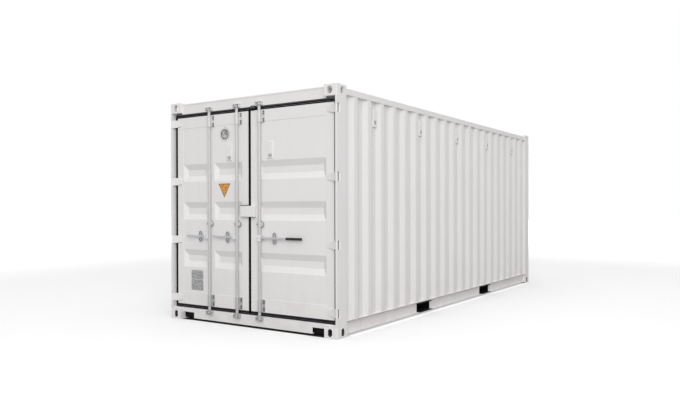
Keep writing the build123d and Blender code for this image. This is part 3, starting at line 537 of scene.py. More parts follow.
def dress(node, material, width=0.0015, folds=0.0, segments=2, bends=(12, 72)):
    """A rounded copy in the place of a node. folds is the width of the bends of a pressed sheet,
    which are the edges whose faces turn by an angle within bends. At the end the shading of each
    large face is made flat again, so that only its rounded edges catch the light."""
    work = joined(node)
    weight = work.edges.layers.float.new("bevel_weight_edge")
    for edge in work.edges:
        if len(edge.link_faces) != 2:
            continue
        angle = math.degrees(edge.calc_face_angle())
        narrow = min(face.calc_area() for face in edge.link_faces) / edge.calc_length()
        if folds and bends[0] < angle < bends[1] and narrow > THIN_FACE:
            edge[weight] = 1.0
        elif folds and angle > bends[0]:
            edge[weight] = width / folds
            edge.smooth = width > 0
        elif not folds and angle > SHARP_DEGREES:
            edge[weight] = 1.0
    mesh = finished(work, node + "_mesh", smooth=True)
    piece = add_piece(node + "_piece", mesh, body_of[node], material)
    bevel = piece.modifiers.new("rounding", "BEVEL")
    bevel.limit_method = "WEIGHT"
    bevel.width = folds or width
    bevel.segments = segments
    bevel.use_clamp_overlap = True
    bake(piece)
    drop_slivers(piece.data)
    flatten = piece.modifiers.new("flat_faces", "WEIGHTED_NORMAL")
    flatten.weight = 100
    flatten.keep_sharp = True
    bake(piece)
    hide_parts(node)
    return piece


# %% Structure
CASTING_SIZE = Vector((0.162, 0.178, 0.118))
CASTING_RIM = 0.004
NOTCH_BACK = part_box("door_posts")[0].y + 0.035


def store(mesh, name, value_of):
    """Stores a value on each face, as an attribute that a finish reads, and gives their mean."""
    values = []
    for face in mesh.polygons:
        values += [value_of(face)] * face.loop_total
    layer = mesh.attributes.new(name, "FLOAT", "CORNER")
    layer.data.foreach_set("value", values)
    return sum(values) / len(values)


def deep_in_casting(face):
    """1 where the castings are deeper than their rim from every outer side, and 0 elsewhere."""
    low, high = (Vector(corner) for corner in cad_box)
    spot = face.center
    outer = (high.x - abs(spot.x), high.y - abs(spot.y), min(spot.z - low.z, high.z - spot.z))
    depths = [min(depth, size - depth) for depth, size in zip(outer, CASTING_SIZE)]
    return float(min(depths) > CASTING_RIM)


def back_of_notch(face):
    """1 at the back of the hinge notches in the posts, which get painted grey shade, and 0 elsewhere."""
    spot = face.center
    near = abs(spot.y - NOTCH_BACK) < 0.014 and abs(spot.x) > 1.190
    return float(near and face.normal.y < -0.5 and spot.z > 0.15)


for name in ("bottom_castings", "top_castings"):
    piece = dress(name, casting_paint, 0.0025, 0.013, 4, (30, 60))
    print(name, "share inside", round(store(piece.data, "inside", deep_in_casting), 2))
structure = ["door_posts", "closed_posts", "hinge_lugs", "door_header", "door_stops", "door_sill"]
structure += ["bottom_side_rails", "top_side_rails", "closed_bottom_rail", "closed_top_rail"]
structure += ["roof_end_plates", "left_leaf_frame", "right_leaf_frame"]
frame_pieces = [dress(name, frame_paint) for name in structure]
# The backs of the hinge notches in the posts carry painted shade.
print("share worn", round(store(frame_pieces[0].data, "worn", back_of_notch), 3))
sheets = [dress(name, sheet_paint, 0.0, 0.007, 4) for name in ("side_walls", "closed_wall")]
sheets.append(dress("roof", sheet_paint, 0.0, 0.006, 3))
sheets += [dress(f"{side}_leaf_panel", sheet_paint, 0.0, 0.006, 4) for side in ("left", "right")]
print("sheets", [len(piece.data.polygons) for piece in sheets])
print("frame", [len(piece.data.polygons) for piece in frame_pieces])

# %% Understructure and floor
under_nodes = ["crossmembers", "fork_pocket_sides", "fork_pocket_plates"]
under = [dress(name, wax, 0.001) for name in under_nodes]
# The bridges are black low down: wax, and painted shade of the fork pockets.
under.append(dress("pocket_bridges", bridge_paint, 0.001))
under.append(dress("floor", plywood, 0.001))
print(len(under), "pieces underneath")

# %% Locking gear
gear = [dress(f"rod_{number}", rod_zinc, 0.001) for number in (1, 2, 3)]
gear += [dress(f"handle_{number}", zinc) for number in (1, 2, 3)]
gear += [dress(f"{side}_handle_catches", zinc) for side in ("left", "right")]
gear += [dress(name, strap_zinc) for name in ("cam_keepers", "left_rod_straps", "right_rod_straps")]
for kind, width, segments in (("leaf_hinges", 0.003, 3), ("lock_box", 0.006, 4), ("vent_cover", 0.005, 4)):
    gear += [dress(f"{side}_{kind}", frame_paint, width, 0.0, segments) for side in ("left", "right")]
gear.append(dress("handle_3_grip", grip_rubber, 0.005, segments=4))
gear.append(dress("side_vents", frame_paint, 0.002))
print(len(gear), "pieces of gear")

# %% [markdown]
# ## Door gaskets
# Each leaf is edged by a ribbed rubber extrusion, mitred at its corners. Its section is two round
# lips with a groove between, drawn once as shares of the width from the leaf's edge outwards and
# depths from its face. It is then carried round four corners, so each side keeps its own width.
# Along the top the inner lip is sunk, which leaves a dark line over the leaf, and at top and
# bottom the outer lip nearly reaches the door way. Where the two gaskets meet at the top of the
# seam, the right one has a rounded lap that reaches over the edge of the header.


# %% Gaskets
GASKET_DEPTH = 0.012
GASKET_LIPS = ((0.0, 0.5), (0.53, 1.0))
GASKET_REACH = 0.0035
SUNK_SHARE = 0.3
SUNK_DEPTH = 0.016
BULGE_SIZE = Vector((0.055, 0.020, 0.029))


def gasket_section(steps=7):
    """Rows (share of the width, depth, depth along the top) over the two lips of the rubber."""
    section = []
    for start, stop in GASKET_LIPS:
        for step in range(steps + 1):
            angle = math.pi * step / steps
            share = (start + stop) / 2 - (stop - start) / 2 * math.cos(angle)
            depth = GASKET_DEPTH * (1 - math.sin(angle))
            section.append((share, depth, depth + SUNK_DEPTH * (share < SUNK_SHARE)))
    return section


def paint_top_light(mesh, high):
    """Stores on each face the share of painted highlight that the rubber finish reads. It lies where
    a face looks upward, as light from above falls, and is stronger along the top of the doors, at the
    height high."""

    def share(face):
        if abs(face.normal.x) >= 0.3:
            return 0.0
        # Painted highlight, stronger along the top of the doors than elsewhere.
        thick = 0.75 if face.center.z > high - 0.05 else 0.3
        return min(1.0, max(0.0, face.normal.z + 0.45) * thick)

    store(mesh, "up", share)


def rectangle(x0, x1, z0, z1):
    """The four corners (x, z) of an upright rectangle."""
    return [(x0, z0), (x1, z0), (x1, z1), (x0, z1)]


def skin(rings, closed=False):
    """A bmesh with faces from each ring of points to the next, and its rings of vertices."""
    work = bmesh.new()
    rows = [[work.verts.new(point) for point in ring] for ring in rings]
    for first, second in zip(rows, rows[1:] + (rows[:1] if closed else [])):
        for here in range(len(first)):
            after = (here + 1) % len(first)
            work.faces.new([first[here], first[after], second[after], second[here]])
    return work, rows


def gasket(side):
    """The rubber round one leaf, as a mitred ring."""
    node = f"{side}_leaf_gasket"
    low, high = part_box(node)
    leaf_low, leaf_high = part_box(f"{side}_leaf_frame")
    section = [(share, low.y + depth, low.y + top) for share, depth, top in gasket_section()]
    section += [(1.0, high.y, high.y), (0.0, high.y, high.y)]
    outer = rectangle(low.x, high.x, low.z - GASKET_REACH, high.z + GASKET_REACH)
    inner = rectangle(leaf_low.x, leaf_high.x, leaf_low.z, leaf_high.z)
    rings = []
    for share, y, y_top in section:
        ring = []
        for (x0, z0), (x1, z1) in zip(inner, outer):
            depth = y_top if z0 == leaf_high.z else y
            ring.append((x0 + share * (x1 - x0), depth, z0 + share * (z1 - z0)))
        rings.append(ring)
    work, _ = skin(rings, closed=True)
    bmesh.ops.recalc_face_normals(work, faces=work.faces)
    mesh = finished(work, node + "_mesh", smooth=True)
    mesh.set_sharp_from_angle(angle=math.radians(50))
    paint_top_light(mesh, high.z)
    piece = add_piece(node + "_piece", mesh, body_of[node], gasket_rubber)
    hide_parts(node)
    return piece


def seam_bulge():
    """The rounded lap of rubber at the top of the seam, on the right leaf. Where it is higher
    than the door way, it stays in front of the header."""
    low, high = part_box("right_leaf_gasket")
    header_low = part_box("door_header")[0]
    work = bmesh.new()
    bmesh.ops.create_uvsphere(work, u_segments=32, v_segments=20, radius=1.0)
    bmesh.ops.scale(work, vec=BULGE_SIZE, verts=work.verts)
    place = (low.x + BULGE_SIZE.x - 0.006, header_low.y + 0.006, high.z - 0.012)
    bmesh.ops.translate(work, vec=place, verts=work.verts)
    for vert in work.verts:
        if vert.co.z > header_low.z - 0.004:
            vert.co.y = min(vert.co.y, header_low.y - 0.001)
    mesh = finished(work, "seam_bulge", smooth=True)
    paint_top_light(mesh, high.z)
    return add_piece("seam_bulge", mesh, "right_leaf", gasket_rubber)


gaskets = [gasket("left"), gasket("right"), seam_bulge()]
print("gaskets", [len(piece.data.polygons) for piece in gaskets])

# %% [markdown]
# ## Repeats by geometry nodes
# Two small node groups make most of what repeats. `scatter` puts a copy of a piece at every
# vertex of a carrier mesh. `bead` runs a rippled weld bead along its edges. Both are set up from
# here, evaluated once, and kept as plain meshes.


# %% Geometry node groups
def geometry_group(name, inputs):
    """A geometry node tree with a mesh, some named inputs and a material to go in."""
    tree = bpy.data.node_groups.new(name, "GeometryNodeTree")
    tree.interface.new_socket("Geometry", in_out="OUTPUT", socket_type="NodeSocketGeometry")
    for label, kind in {"Geometry": "Geometry", **inputs, "Material": "Material"}.items():
        tree.interface.new_socket(label, in_out="INPUT", socket_type="NodeSocket" + kind)
    graph = Graph(tree)
    return graph, graph.add("NodeGroupInput")


def close_group(graph, given, geometry):
    """Ends a group with its material on the finished geometry."""
    real = graph.add("GeometryNodeRealizeInstances", None, {"Geometry": geometry})
    sockets = {"Geometry": real, "Material": given.out("Material")}
    coated = graph.add("GeometryNodeSetMaterial", None, sockets)
    graph.add("NodeGroupOutput", None, {"Geometry": coated})
    return graph.tree


def scatter_group():
    """Copies of an object on the vertices of a mesh, each turned about Y by chance."""
    graph, given = geometry_group("scatter", {"Piece": "Object", "Turn": "Float", "Seed": "Int"})
    sockets = {"Min": 0.0, "Max": given.out("Turn"), "Seed": given.out("Seed")}
    chance = graph.add("FunctionNodeRandomValue", {"data_type": "FLOAT"}, sockets).out("Value")
    turn = graph.add("ShaderNodeCombineXYZ", None, {"Y": chance})
    piece = graph.add("GeometryNodeObjectInfo", None, {"Object": given.out("Piece")})
    sockets = {"Points": given, "Instance": piece.out("Geometry"), "Rotation": turn}
    return close_group(graph, given, graph.add("GeometryNodeInstanceOnPoints", None, sockets))


def bead_group():
    """A weld bead along the edges of a mesh, whose width ripples."""
    graph, given = geometry_group("bead", {"Radius": "Float", "Step": "Float", "Ripple": "Float"})
    line = graph.add("GeometryNodeMeshToCurve", None, {"Mesh": given})
    sockets = {"Curve": line, "Length": given.out("Step")}
    even = graph.add("GeometryNodeResampleCurve", {"mode": "LENGTH"}, sockets)
    noise = graph.add("ShaderNodeTexNoise", None, {"Scale": 90.0, "Detail": 1.0})
    width = given.out("Radius") * (1.0 + (noise - 0.5) * given.out("Ripple"))
    ring = graph.add("GeometryNodeCurvePrimitiveCircle", None, {"Resolution": 6, "Radius": 1.0})
    sockets = {"Curve": even, "Profile Curve": ring, "Scale": width}
    tube = graph.add("GeometryNodeCurveToMesh", None, sockets)
    smooth = graph.add("GeometryNodeSetShadeSmooth", None, {"Geometry": tube})
    return close_group(graph, given, smooth)


scatter = scatter_group()
bead = bead_group()


def grow(name, places, edges, group, values, body, material):
    """Runs a node group on a mesh of points and edges, and keeps what it makes as a piece."""
    carrier = bpy.data.meshes.new(name)
    carrier.from_pydata(places, edges, [])
    piece = shown(name, carrier)
    growth = piece.modifiers.new("growth", "NODES")
    growth.node_group = group
    rows = [item for item in group.interface.items_tree if item.in_out == "INPUT"]
    named = {item.name: item.identifier for item in rows}
    for label, value in {**values, "Material": material}.items():
        growth[named[label]] = value
    bake(piece)
    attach(piece, body)
    return piece


def scattered(name, piece, places, seed, body, material, turn=3.0):
    """A copy of a pattern at each place."""
    values = {"Piece": piece, "Turn": turn, "Seed": seed}
    return grow(name, places, [], scatter, values, body, material)


def beaded(name, runs, radius, step, ripple, body, material, closed=False):
    """A weld bead along each run of points, and back to its start where the runs are closed."""
    places = []
    edges = []
    for run in runs:
        start = len(places)
        places += run
        edges += [(here, here + 1) for here in range(start, len(places) - 1)]
        if closed:
            edges.append((len(places) - 1, start))
    values = {"Radius": radius, "Step": step, "Ripple": ripple}
    return grow(name, places, edges, bead, values, body, material)


print("groups", scatter.name, bead.name)

# %% [markdown]
# ### Small turned parts
# Bolts, rivets and studs are turned from a profile round the Y axis, with their heads towards
# -Y. They are kept off the scene and only serve as the patterns that `scatter` copies.


# %% Patterns for bolts, rivets and studs
def oval(count, across, upright, x=0.0, z=0.0):
    """Points (x, z) round an ellipse, or a circle where both half widths are the same."""
    turns = [2 * math.pi * step / count for step in range(count)]
    return [(x + across * math.cos(turn), z + upright * math.sin(turn)) for turn in turns]


def moved(spots, place):
    """Places that are given from a spot, as places in the scene."""
    return [tuple(map(sum, zip(spot, place))) for spot in spots]


def turned(name, profile, count=16, smooth=True):
    """A shape turned round Y from (radius, y) pairs, with count corners."""
    rings = [[(x, y, z) for x, z in oval(count, radius, radius)] for radius, y in profile]
    work, rows = skin(rings)
    work.faces.new(rows[0])
    work.faces.new(rows[-1])
    bmesh.ops.recalc_face_normals(work, faces=work.faces)
    mesh = finished(work, name, smooth)
    mesh.set_sharp_from_angle(angle=math.radians(35))
    return mesh


def pattern(name, *meshes):
    """An object outside the scene that holds several meshes as one."""
    work = bmesh.new()
    for mesh in meshes:
        work.from_mesh(mesh)
    return bpy.data.objects.new(name, finished(work, name))


WASHER = ((0.0115, 0.0), (0.0115, -0.0016), (0.0105, -0.0022), (0.004, -0.0022))
HEAD = ((0.0088, -0.002), (0.0088, -0.0078), (0.0074, -0.0088), (0.002, -0.0088))
RIVET = ((0.004, 0.0), (0.0036, -0.0012), (0.0022, -0.0022), (0.0006, -0.0026))
STUD = ((0.0052, 0.0), (0.0046, -0.0018), (0.0028, -0.003), (0.0008, -0.0034))
bolt = pattern("bolt", turned("washer", WASHER, 20), turned("head", HEAD, 6, smooth=False))
rivet = pattern("rivet", turned("dome", RIVET, 12))
stud = pattern("stud", turned("stud_dome", STUD, 12))
print("patterns", bolt.name, rivet.name, stud.name)

# %% [markdown]
# ### Where the small parts go
# Their places come from the frame: the boxes of the nodes that carry them, and the pivots of
# the lock rods. Only distances from those are written here.


# %% Places read from the frame
joint_place = {row["name"]: row["pos_m"] for row in frame["record"]["behaviour"]["joints"]}
leaf_low, leaf_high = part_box("left_leaf_frame")
rail_low, rail_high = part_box("bottom_side_rails")
wall_low, wall_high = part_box("side_walls")
end_wall_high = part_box("closed_wall")[1]
header_low, header_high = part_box("door_header")
sill_low, sill_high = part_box("door_sill")
closed_post_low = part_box("closed_posts")[0]
casting_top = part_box("bottom_castings")[1].z
casting_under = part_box("top_castings")[0].z
LEAF_FACE = leaf_low.y
PANEL_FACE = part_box("left_leaf_panel")[0].y
RODS = {
    "left": [joint_place["rod_1_turn"][0], joint_place["rod_2_turn"][0]],
    "right": [joint_place["rod_3_turn"][0]],
}
STRAP_FRONT = LEAF_FACE - 0.005
STRAP_INSET = 0.075
GUIDE_Z = joint_place["rod_1_turn"][2] + 0.149
print("leaf face", round(LEAF_FACE, 3), "rods", RODS)

# %% Bolts of the rod straps
STRAP_BOLTS = [(0.048, 0.0, step) for step in (-0.053, -0.029, 0.029, 0.053)]
STRAP_BOLTS += [(-0.0305, 0.0, step) for step in (-0.05, 0.05)]
GUIDE_BOLT = -0.0435
KEEPER_BOLT = 0.039
KEEPER_STEPS = (0.010, 0.031)
strap_bolts = []
for side, xs in RODS.items():
    places = []
    for x in xs:
        for middle in (leaf_low.z + STRAP_INSET, leaf_high.z - STRAP_INSET):
            places += moved(STRAP_BOLTS, (x, STRAP_FRONT, middle))
        places.append((x + GUIDE_BOLT, STRAP_FRONT, GUIDE_Z))
    name = f"{side}_strap_bolts"
    strap_bolts.append(scattered(name, bolt, places, 4, f"{side}_leaf", bolt_steel))
keeper_low, keeper_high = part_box("cam_keepers")
levels = [keeper_low.z + step for step in KEEPER_STEPS]
levels += [keeper_high.z - step for step in reversed(KEEPER_STEPS)]
across = [x + side * KEEPER_BOLT for x in sum(RODS.values(), []) for side in (-1, 1)]
places = [(x, keeper_low.y, z) for x in across for z in levels]
strap_bolts.append(scattered("keeper_studs", stud, places, 6, "root", bolt_steel))
print("strap bolts", [len(piece.data.polygons) for piece in strap_bolts])

# %% Round cheeks of the middle guides
SEAT = ((0.0375, 0.0), (0.0375, -0.0035), (0.0365, -0.0045), (0.028, -0.0045))
CHEEK = ((0.0335, -0.004), (0.0335, -0.006), (0.031, -0.009), (0.024, -0.011), (0.012, -0.012))
# The dark seat under each cheek is partly a washer and partly painted shadow: the dark ring round the
# cheek.
discs = {
    "seats": (pattern("cheek_seat", turned("seat_disc", SEAT, 32)), bolt_steel),
    "cheeks": (pattern("cheek", turned("cheek_disc", CHEEK, 32)), strap_zinc),
}
for side, xs in RODS.items():
    places = [(x + 0.008, STRAP_FRONT, GUIDE_Z) for x in xs]
    for label, (disc, coat) in discs.items():
        scattered(f"{side}_guide_{label}", disc, places, 5, f"{side}_leaf", coat, turn=0.0)
print("guide cheeks at height", round(GUIDE_Z, 3))

# %% [markdown]
# ### Rings of the handle catches
# Each catch is edged by two bent rods, a ring above the handle and one below it. They stay behind
# the handle, so it can be lifted past them.

# %% Catch rings
CATCH_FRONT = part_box("left_handle_catches")[0].y + 0.017
CATCH_FROM_ROD = {"left": -0.150, "right": 0.207}
RING_WIDTH = 0.0175
catch_middle = joint_place["handle_1_lift"][2]
RING_ROWS = ((catch_middle + 0.032, 0.027), (catch_middle - 0.037, 0.022))
catch_rings = []
for side, xs in RODS.items():
    runs = []
    for centre in [x + CATCH_FROM_ROD[side] for x in xs]:
        for middle, half in RING_ROWS:
            ring = [(x, CATCH_FRONT, z) for x, z in oval(24, RING_WIDTH, half, centre, middle)]
            runs.append(ring + ring[:1])
    name = f"{side}_catch_rings"
    catch_rings.append(beaded(name, runs, 0.0034, 0.004, 0.1, f"{side}_leaf", bolt_steel))
print("catch rings", [len(piece.data.polygons) for piece in catch_rings])

# %% [markdown]
# ### Weld beads
# Nearly every seam of a container is a weld. The long ones are at the feet and heads of the
# walls, where the bead follows the folds of the sheet, and round the panels of the leaves. The
# short ones are where posts, rails, header, sill and castings meet.


# %% Weld beads
WALL_PITCH = 0.2795
WALL_FLAT = 0.072
WALL_SLOPE = 0.068
END_PITCH = 0.250
END_FLAT = 0.072
END_SLOPE = 0.060


def pressed_line(half, pitch, flat, slope, depth):
    """Corners (along, inwards) of a sheet pressed in waves, with a trough in the middle."""
    trough = pitch - flat - 2 * slope
    count = int(half // pitch) + 2
    corners = []
    for number in range(-count, count + 1):
        centre = number * pitch
        steps = ((-trough / 2 - slope, 0.0), (-trough / 2, depth))
        steps += ((trough / 2, depth), (trough / 2 + slope, 0.0))
        corners += [(centre + along, inwards) for along, inwards in steps]
    return [corner for corner in corners if abs(corner[0]) < half]


SEAT_LIFT = 0.001
wall_line = pressed_line(wall_high.y, WALL_PITCH, WALL_FLAT, WALL_SLOPE, 0.036)
end_line = pressed_line(end_wall_high.x, END_PITCH, END_FLAT, END_SLOPE, 0.045)
runs = []
for side in (-1, 1):
    for z in (wall_low.z + SEAT_LIFT, wall_high.z - SEAT_LIFT):
        outside = wall_high.x + SEAT_LIFT
        runs.append([(side * (outside - inwards), y, z) for y, inwards in wall_line])
for z in (end_wall_high.z - SEAT_LIFT, rail_high.z + SEAT_LIFT):
    runs.append([(x, end_wall_high.y + SEAT_LIFT - inwards, z) for x, inwards in end_line])
wall_beads = beaded("wall_beads", runs, 0.0026, 0.007, 0.9, "root", frame_paint)

FRAME_BEAD = 0.003
BEAD_INSET = 0.0038
corner_x = cad_box[1].x - BEAD_INSET
corner_y = cad_box[1].y - BEAD_INSET
post_inner = closed_post_low.y + SEAT_LIFT
rail_bead_x = rail_high.x + 0.0002
runs = []
for x in (-1, 1):
    end = x * header_high.x
    runs.append([(end, header_low.y, header_low.z), (end, header_low.y, header_high.z)])
    runs.append([(x * sill_high.x, sill_low.y, casting_top), (end, sill_low.y, casting_top)])
    for y in (-1, 1):
        for z in (casting_top, casting_under):
            edge = (x * (corner_x - 0.045), y * corner_y, z)
            runs.append([edge, (x * corner_x, y * corner_y, z), (x * corner_x, y * post_inner, z)])
        for foot, top in ((rail_low.z, rail_high.z), (wall_high.z, wall_high.z + 0.056)):
            runs.append([(x * rail_bead_x, y * post_inner, z) for z in (foot, top)])
frame_beads = beaded("frame_beads", runs, FRAME_BEAD, 0.008, 0.8, "root", frame_paint)

for side in ("left", "right"):
    low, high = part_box(f"{side}_leaf_panel")
    y = PANEL_FACE - 0.0005
    run = [(x, y, z) for x, z in rectangle(low.x, high.x, low.z, high.z)]
    name = f"{side}_panel_beads"
    beaded(name, [run], 0.0022, 0.008, 0.8, f"{side}_leaf", frame_paint, closed=True)
print("beads", len(wall_beads.data.polygons), len(frame_beads.data.polygons))

# %% [markdown]
# ### The lip over the doors, and the dark plates inside the sill
# The edge of the roof's end plate is turned down over the header, and its shadow is a fine line.
# Under the doors the sill is cut open beside each casting, and a black plate behind each cut is
# partly the wax that is there and partly painted shade of the dark inside. The same boxes with
# rounded edges hold the roots of the handles: a pale block on the rod of the long one, and a
# bright cheek in front of each of the others. Thin boxes also carry painted shade: a grey strip
# along each bottom rail and a black strip over the left lock box.


# %% Header lip, handle roots and sill linings
def slab(work, low, high):
    """Adds a box between two corners to a bmesh."""
    made = bmesh.ops.create_cube(work, size=1.0)
    size = [abs(far - near) for near, far in zip(low, high)]
    middle = (Vector(high) + Vector(low)) / 2
    bmesh.ops.scale(work, vec=size, verts=made["verts"])
    bmesh.ops.translate(work, vec=middle, verts=made["verts"])
    return made["verts"]


def both_sides(low, high):
    """The corners of a box, and of the same box on the other side of the container."""
    return [[(side * x, y, z) for x, y, z in (low, high)] for side in (-1, 1)]


def strips(name, corners, body, material, round_by=0.0008):
    """Several boxes, each between two corners, as one piece with rounded edges."""
    work = bmesh.new()
    for low, high in corners:
        slab(work, low, high)
    if round_by:
        bmesh.ops.bevel(work, geom=work.edges[:], offset=round_by, segments=2, affect="EDGES")
    return add_piece(name, finished(work, name), body, material)


low = (header_low.x + 0.002, header_low.y - 0.004, header_high.z - 0.013)
high = (header_high.x - 0.002, header_low.y + 0.0002, header_high.z + 0.0015)
lip = strips("header_lip", [(low, high)], "root", frame_paint)
ROOT_FRONT = LEAF_FACE - 0.0435
BLOCK_BACK = -2.986
CHEEK_BOX = ((-0.064, 0.0005, -0.024), (-0.018, 0.0053, 0.024))
WEB_BOX = ((-0.026, 0.0035, -0.020), (-0.012, 0.018, 0.020))
CHEEK_STUD = (-0.042, 0.0005, 0.0)
BLOCK_STUD = (-0.004, 0.0, 0.0)
rod_x = RODS["right"][0]
low = (rod_x - 0.022, ROOT_FRONT, catch_middle - 0.034)
high = (rod_x + 0.018, BLOCK_BACK, catch_middle + 0.034)
strips("long_handle_block", [(low, high)], "rod_3", frame_paint, 0.002)
root_studs = {"rod_3": moved([BLOCK_STUD], (rod_x, ROOT_FRONT, catch_middle))}
for number, rod_x in enumerate(RODS["left"], 1):
    body = f"rod_{number}"
    root = (rod_x, ROOT_FRONT, catch_middle)
    corners = [moved(box, root) for box in (CHEEK_BOX, WEB_BOX)]
    strips(f"handle_{number}_root", corners, body, new_zinc)
    root_studs[body] = moved([CHEEK_STUD], root)
for body, places in root_studs.items():
    scattered(f"{body}_root_stud", stud, places, 7, body, bolt_steel)
# Along the top edge of each bottom rail, a thin grey strip is painted shade: the dark line under the foot
# of the wall.
low = (rail_high.x - 0.003, rail_low.y + 0.004, rail_high.z - 0.0034)
high = (rail_high.x + 0.0006, rail_high.y - 0.004, rail_high.z + 0.0004)
strips("rail_dirt_lines", both_sides(low, high), "root", line_dirt)
# A black strip along the top of the left lock box is a painted shadow: the gap above the box.
lock_low, lock_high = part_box("left_lock_box")
low = (lock_low.x + 0.003, lock_low.y + 0.004, lock_high.z - 0.001)
high = (lock_high.x - 0.004, LEAF_FACE, lock_high.z + 0.007)
strips("lock_box_pad", [(low, high)], "left_leaf", grip_rubber)
# Black plates behind the sill's cuts: wax, and painted shade of the dark inside.
low = (header_high.x - 0.182, sill_high.y - 0.030, 0.019)
high = (header_high.x - 0.002, sill_high.y - 0.027, 0.128)
sill_shade = strips("sill_linings", both_sides(low, high), "root", wax)
print("lip and linings", len(lip.data.polygons), len(sill_shade.data.polygons))

# %% [markdown]
# ### Vents
# Air gets in under the eaves through small covers with slats, and each leaf has one too. A cover
# is a recess with slats in front of it, and behind the slats a thin dark panel is painted shade.


# %% Vents
SLATS = 4
SLAT_THICK = 0.0018
SLAT_SHARE = 0.28
SLAT_TURN = Matrix.Rotation(math.radians(-24), 3, "X")
QUARTER_TURN = Matrix.Rotation(math.pi / 2, 3, "Z")


def slatted(name, across, upright, facing_x=False):
    """A few sloping slats, one above the other, as a pattern."""
    work = bmesh.new()
    pitch = upright / SLATS
    for number in range(SLATS):
        z = (number - (SLATS - 1) / 2) * pitch
        low = (-across / 2, -SLAT_THICK, z - pitch * SLAT_SHARE)
        verts = slab(work, low, (across / 2, 0.0, z + pitch * SLAT_SHARE))
        bmesh.ops.rotate(work, cent=(0, -SLAT_THICK / 2, z), matrix=SLAT_TURN, verts=verts)
    if facing_x:
        bmesh.ops.rotate(work, cent=(0, 0, 0), matrix=QUARTER_TURN, verts=work.verts)
    bmesh.ops.bevel(work, geom=work.edges[:], offset=0.0004, segments=1, affect="EDGES")
    return bpy.data.objects.new(name, finished(work, name))


def recess(name, spots, half, body):
    """Thin dark panels of painted shade behind slats, from their middles and their half sizes."""
    box = [[way * size for size in half] for way in (-1, 1)]
    strips(name, [moved(box, spot) for spot in spots], body, dark_slot, round_by=0)


vent_low, vent_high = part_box("side_vents")
VENT_YS = [number * 4 * WALL_PITCH for number in (-2, -1, 0, 1, 2)]
LOUVRE_Z = vent_low.z + 0.051
slats = {side: slatted(f"slats_{side}", 0.046, 0.042, facing_x=True) for side in ("right", "left")}
for vert in slats["left"].data.vertices:
    vert.co.x = -vert.co.x
slats["left"].data.flip_normals()
for side, way in (("right", 1), ("left", -1)):
    places = [(way * (vent_high.x - 0.001), y, LOUVRE_Z) for y in VENT_YS]
    scattered(f"{side}_vent_slats", slats[side], places, 1, "root", frame_paint, turn=0.0)
spots = [(side * (vent_high.x - 0.007), y, LOUVRE_Z) for side in (-1, 1) for y in VENT_YS]
recess("side_vent_recesses", spots, (0.0004, 0.028, 0.026), "root")
cover_slats = slatted("slats_cover", 0.050, 0.034)
for side in ("left", "right"):
    low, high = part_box(f"{side}_vent_cover")
    body = f"{side}_leaf"
    middle = (low.x + high.x) / 2
    louvre = low.z + 0.031
    spot = (middle, low.y + 0.0112, louvre)
    recess(f"{side}_cover_recess", [spot], (0.026, 0.0004, 0.018), body)
    place = (middle, low.y + 0.0035, louvre)
    scattered(f"{side}_cover_slats", cover_slats, [place], 1, body, frame_paint, turn=0.0)
    levels = (high.z - 0.012, low.z + 0.01)
    places = [(middle + reach, low.y, z) for z in levels for reach in (-0.02, 0.02)]
    scattered(f"{side}_cover_rivets", rivet, places, 2, body, frame_paint)
print("vents on each side", len(VENT_YS))

# %% [markdown]
# ### Plates and markers
# The doors carry a pair of metal plates, a round marker and a triangle. They are blank here:
# what matters is their place, their size and how they catch the light.


# %% Plates and markers
PLATE_X0, PLATE_X1 = -0.923, -0.727
PLATE_LEVELS = ((0.356, 0.482), (0.486, 0.593))
PLATE_ROUND = 0.006
PLATE_THICK = 0.0015
RIVET_INSET = 0.008
FIELD_INSET_X, FIELD_INSET_Z = 0.016, 0.014
FIELD_ROUND = 0.004
FIELD_THICK = 0.0003
EDGE_THICK = 0.0006
TRIANGLE = [(-0.475, 1.612), (-0.3815, 1.450), (-0.288, 1.612)]
DISC_X, DISC_Z = -0.373, 2.178
DISC_THICK = 0.0005
DISC_RINGS = ((0.078, 0.0765, ring_foil), (0.0755, 0.060, rim_foil), (0.059, 0.046, ring_foil))


def flat_piece(name, outline, lift, thick, bevel, material):
    """A flat piece with softened edges on the left leaf, lifted off its panel. outline is a run
    of (x, z)."""
    back = PANEL_FACE - lift
    work = bmesh.new()
    work.faces.new([work.verts.new((x, back - thick, z)) for x, z in outline])
    made = bmesh.ops.extrude_face_region(work, geom=work.faces[:])
    moved = [item for item in made["geom"] if isinstance(item, bmesh.types.BMVert)]
    bmesh.ops.translate(work, vec=(0, thick, 0), verts=moved)
    bmesh.ops.recalc_face_normals(work, faces=work.faces)
    front = back - thick + 1e-6
    rim = [edge for edge in work.edges if all(vert.co.y < front for vert in edge.verts)]
    bmesh.ops.bevel(work, geom=rim, offset=bevel, segments=2, affect="EDGES")
    return add_piece(name, finished(work, name), "left_leaf", material)


def rounded(x0, x1, z0, z1, radius, steps=5):
    """Outline of a rectangle with round corners."""
    points = []
    corners = ((x1 - radius, z1 - radius, 0), (x0 + radius, z1 - radius, 90))
    corners += ((x0 + radius, z0 + radius, 180), (x1 - radius, z0 + radius, 270))
    for cx, cz, start in corners:
        for step in range(steps + 1):
            angle = math.radians(start + 90 * step / steps)
            points.append((cx + radius * math.cos(angle), cz + radius * math.sin(angle)))
    return points


def inset(outline, distance):
    """The same triangle, drawn in from its edges by a distance."""
    middle = sum((Vector(point) for point in outline), Vector((0, 0))) / len(outline)
    inner = (Vector(outline[0]) - Vector(outline[1])).length / 2 / math.sqrt(3)
    share = 1 - distance / inner
    return [tuple(middle + (Vector(point) - middle) * share) for point in outline]


def soft_corners(outline, radius, steps=4):
    """An outline with each corner rounded by a quadratic curve."""
    points = []
    for number, point in enumerate(outline):
        corner = Vector(point)
        before = (Vector(outline[number - 1]) - corner).normalized() * radius
        after = (Vector(outline[(number + 1) % len(outline)]) - corner).normalized() * radius
        for step in range(steps + 1):
            share = step / steps
            points.append(tuple(corner + before * (1 - share) ** 2 + after * share**2))
    return points


